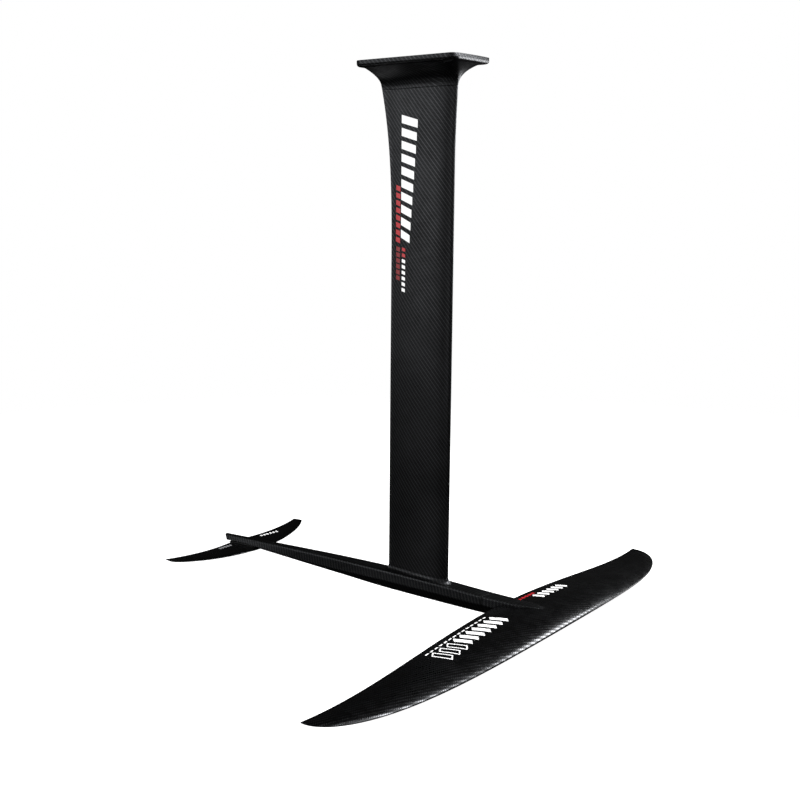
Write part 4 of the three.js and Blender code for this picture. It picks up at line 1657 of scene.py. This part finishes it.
@dataclass
class Prints:
    """Plain bars, stripes and dashes on the mast and the wings."""

    section: MastSection = field(default_factory=MastSection)
    wing: WingPlan = field(default_factory=WingPlan)
    tail: TailPlan = field(default_factory=TailPlan)
    lift: float = 0.1

    def build(self, finishes: Finishes) -> None:
        """Prints every set of marks."""
        for print_set in self._sets(finishes):
            films = [print_film(mark, print_set.place) for mark in print_set.marks]
            hand_over(join_up(print_set.name, films), print_set.ink, Slot.GLOSS)

    def _sets(self, f: Finishes) -> list[PrintSet]:
        """Lays out the marks, grouped by ink and surface.

        Args:
            f: the foil's materials.

        Returns:
            The sets.
        """
        bars = mark_row(10, (-36.0, -98.0), (0.0, -20.5), 33.0, 0.0, 13.0, tilt=-9.0, shorter=1.6)
        stripe = mark_row(8, (-47.0, -205.0), (0.0, -12.0), 9.0, 0.0, 8.0, tilt=-3.0)
        block = mark_row(6, (-46.0, -304.0), (0.0, -9.5), 8.0, 0.0, 7.0, tilt=-2.0)
        dashes = mark_row(8, (-33.5, -304.0), (0.0, -9.5), 7.0, 0.0, 5.5, tilt=-2.0)
        near = mark_row(7, (186.0, -70.0), (0.0, -17.5), 33.0, 8.0, -11.0)
        frames = [mark for i in range(3) for mark in self._frame(i)]
        small = mark_row(14, (177.5, -70.0), (0.35, -13.0), 3.0, 0.6, -8.0)
        far = mark_row(6, (191.0, 62.0), (0.0, 16.0), 22.0, -6.0, 10.0)
        far_red = mark_row(5, (177.5, 34.0), (0.0, 11.0), 7.0, -1.5, 7.5)
        tail_far = mark_row(6, (-401.0, 52.0), (0.9, 8.0), 6.0, -1.5, 5.0)
        tail_near = mark_row(5, (-404.5, -30.0), (0.0, -7.0), 6.5, 1.2, -4.5)
        return [
            PrintSet("mast_bars", f.white, bars, self._on_mast),
            PrintSet("mast_red_stripe", f.red, stripe + dashes[:2], self._on_mast),
            PrintSet("mast_deep_red_block", f.deep_red, block, self._on_mast),
            PrintSet("mast_white_dashes", f.white, dashes[2:], self._on_mast),
            PrintSet("wing_near_marks", f.white, near + frames + small, self._on_wing),
            PrintSet("wing_far_bars", f.white, far, self._on_wing),
            PrintSet("wing_far_red_dashes", f.red, far_red, self._on_wing),
            PrintSet("stabiliser_far_bars", f.white, tail_far, self._on_tail),
            PrintSet("stabiliser_near_bars", f.grey, tail_near, self._on_tail),
        ]

    @staticmethod
    def _frame(i: int) -> list[Mark]:
        """Draws one outlined box on the wing.

        Args:
            i: the box's count from the wing's middle.

        Returns:
            Its four sides.
        """
        x, y, wide, deep, line = 188.0, -195.0 - 20.0 * i, 36.0, 14.0, 2.2
        slant = 8.0 * line / deep
        return [
            Mark((x, y), (line, 0.0), 8.0, -deep, 0.0),
            Mark((x + wide - line, y), (line, 0.0), 8.0, -deep, 0.0),
            Mark((x + line, y), (wide - 2 * line, 0.0), slant, -line, 0.0),
            Mark((x + line + 8.0 - slant, y - deep + line), (wide - 2 * line, 0.0),
                 slant, -line, 0.0),
        ]

    def _on_mast(self, x: float, z: float) -> Vector:
        """Returns the point of the mast's starboard face at x and z."""
        face = self.section.flared(z)[: self.section.half_around + 1]
        order = np.argsort(face[:, 0])
        return Vector((x, float(np.interp(x, face[order, 0], face[order, 1])) - self.lift, z))

    def _on_plan(self, plan: Plan, x: float, y: float) -> Vector:
        """Returns the point of a wing's upper surface at x and y."""
        station = plan.station(y / plan.half_span)
        u = min(max((station.trailing_x + station.chord - x) / station.chord, 0.0), 1.0)
        return station.point(u, station.half(u) + self.lift)

    def _on_wing(self, x: float, y: float) -> Vector:
        """Returns the point of the front wing's upper surface."""
        return self._on_plan(self.wing, x, y)

    def _on_tail(self, x: float, y: float) -> Vector:
        """Returns the point of the stabiliser's upper surface."""
        return self._on_plan(self.tail, x, y)


# ------------------------------------------------------------------------------ inner pieces and studio


def dress_inner_pieces(finishes: Finishes) -> None:
    """Gives every CAD node that still shows its finish.

    Args:
        finishes: the foil's materials.
    """
    by_slot = {Slot.RAW: finishes.bare, Slot.FOAM: finishes.foam, Slot.NYLON: finishes.nylon,
               Slot.STEEL: finishes.steel, Slot.BRASS: finishes.brass}
    slots = {row["node"]: row["material_slot"] for row in frame["record"]["subparts"]}
    for name, node in frame["nodes"].items():
        material = by_slot.get(Slot(slots[name]))
        if material:
            node.data.materials.clear()
            node.data.materials.append(material)


@dataclass(frozen=True)
class Softbox:
    """A rectangular studio light.

    Attributes:
        name: the light's name.
        place: where it stands, in metres.
        aim: the point that it faces.
        size: its width and height.
        power: in watts.
    """

    name: str
    place: tuple[float, float, float]
    aim: tuple[float, float, float]
    size: tuple[float, float]
    power: float

    def build(self) -> None:
        """Adds the light; it lights the foil and shows in its gloss, but not to the camera."""
        data = bpy.data.lights.new(self.name, "AREA")
        data.shape = "RECTANGLE"
        data.size, data.size_y = self.size
        data.energy = self.power
        lamp = bpy.data.objects.new(self.name, data)
        lamp.location = self.place
        lamp.rotation_euler = (Vector(self.aim) - Vector(self.place)).to_track_quat("-Z", "Y").to_euler()
        lamp.visible_camera = False
        bpy.context.scene.collection.objects.link(lamp)


SOFTBOXES = (
    Softbox("mast_softbox", (-1.7, -2.3, 0.0), (0.0, 0.0, -0.4), (1.5, 1.5), 10.5),
    Softbox("starboard_softbox", (0.4, -2.7, -0.2), (0.0, 0.0, -0.4), (1.2, 1.2), 4.0),
    Softbox("low_side_softbox", (-1.5, -2.2, -2.0), (0.0, 0.0, -0.85), (1.4, 0.5), 1.5),
    Softbox("high_rear_softbox", (-1.3, -1.3, 0.85), (0.0, 0.0, -0.85), (0.6, 0.6), 5.0),
    Softbox("leading_edge_softbox", (0.62, 0.82, -0.22), (0.22, -0.15, -0.88), (0.5, 0.5), 14.0),
    Softbox("near_edge_softbox", (0.55, 0.05, 0.2), (0.2, -0.35, -0.88), (0.6, 0.6), 14.0),
    Softbox("front_softbox", (2.3, -0.7, 0.0), (0.1, 0.0, -0.4), (0.8, 1.4), 2.6),
    Softbox("low_rear_softbox", (-1.0, 0.4, -1.1), (0.0, 0.0, -0.02), (0.5, 0.3), 0.4),
    Softbox("low_front_softbox", (0.7, 1.6, -0.8), (0.1, 0.0, -0.05), (0.5, 0.3), 2.4),
    Softbox("port_softbox", (1.9, 2.4, 0.7), (0.0, 0.0, -0.5), (1.2, 1.2), 1.6),
)


@dataclass
class Studio:
    """Pale floor, soft lights and the camera."""

    floor_z: float = CAD_BOX[0][2]
    eye: tuple[float, float, float] = (1.1209, -1.6716, -0.2219)
    heading: float = math.radians(128.16)
    pitch: float = math.radians(-9.31)
    lens: float = 54.83
    shift_x: float = 0.09075
    gloss_ambient: float = 0.015

    def build(self) -> None:
        """Builds the camera, the floor, the backdrop and the lights."""
        self.camera()
        self.floor()
        self.backdrop()
        for softbox in SOFTBOXES:
            softbox.build()

    def camera(self) -> None:
        """Places the camera at the viewing angle."""
        data = bpy.data.cameras.new("camera")
        data.lens, data.sensor_width = self.lens, 36.0
        data.shift_x = self.shift_x
        data.clip_start, data.clip_end = 0.05, 60.0
        camera = bpy.data.objects.new("camera", data)
        camera.location = self.eye
        camera.rotation_euler = (math.pi / 2 + self.pitch, 0.0, self.heading - math.pi / 2)
        bpy.context.scene.collection.objects.link(camera)
        bpy.context.scene.camera = camera

    def floor(self) -> None:
        """Lays a round white floor that fades into the backdrop before its rim."""
        deselect()
        bpy.ops.mesh.primitive_circle_add(vertices=96, radius=6.0, fill_type="NGON",
                                          location=(0, 0, self.floor_z))
        floor = bpy.context.object
        floor.name = "floor"
        settle(floor)
        g = Graph("white_floor")
        place = g.node("ShaderNodeTexCoord").outputs["Object"]
        g.set(Base_Color=rgb(0.5, 0.5, 0.5), Roughness=0.9, Emission_Color=rgb(1.0, 1.0, 1.0))
        g.link(g.span(g.noise(place, 2.0), 0.2, 0.8, 0.95, 0.97), g.shader.inputs["Emission Strength"])
        centre = g.node("ShaderNodeVectorMath", operation="LENGTH")
        flat = g.node("ShaderNodeVectorMath", operation="MULTIPLY")
        g.link(place, flat.inputs[0])
        flat.inputs[1].default_value = (1.0, 1.0, 0.0)
        g.link(flat.outputs["Vector"], centre.inputs[0])
        g.link(g.span(centre.outputs["Value"], 1.0, 2.2, 1.0, 0.0), g.shader.inputs["Alpha"])
        floor.data.materials.append(g.material)
        floor.visible_glossy = False
        floor.visible_diffuse = False
        floor.visible_shadow = False

    def backdrop(self) -> None:
        """Gives a white backdrop that the carbon's gloss hardly mirrors."""
        world = bpy.data.worlds.new("studio")
        bpy.context.scene.world = world
        world.use_nodes = True
        tree = world.node_tree
        back = tree.nodes["Background"]
        back.inputs["Color"].default_value = rgb(1.0, 1.0, 1.0)
        seen = tree.nodes.new("ShaderNodeLightPath")
        strength = tree.nodes.new("ShaderNodeMapRange")
        strength.inputs["To Min"].default_value = 1.0
        strength.inputs["To Max"].default_value = self.gloss_ambient
        tree.links.new(seen.outputs["Is Glossy Ray"], strength.inputs["Value"])
        tree.links.new(strength.outputs["Result"], back.inputs["Strength"])


def main() -> None:
    """Builds the studio and every sub-assembly."""
    logging.basicConfig(level=logging.INFO, format="%(name)s: %(message)s")
    bpy.context.scene.view_settings.view_transform = "Standard"
    finishes = Finishes()
    Studio().build()
    dress_inner_pieces(finishes)
    for assembly in (Mast(), Fuselage(), FrontWing(), Stabiliser(), Screws(), Prints()):
        assembly.build(finishes)
        log.info("%s built", type(assembly).__name__)


if __name__ == "__main__":
    main()
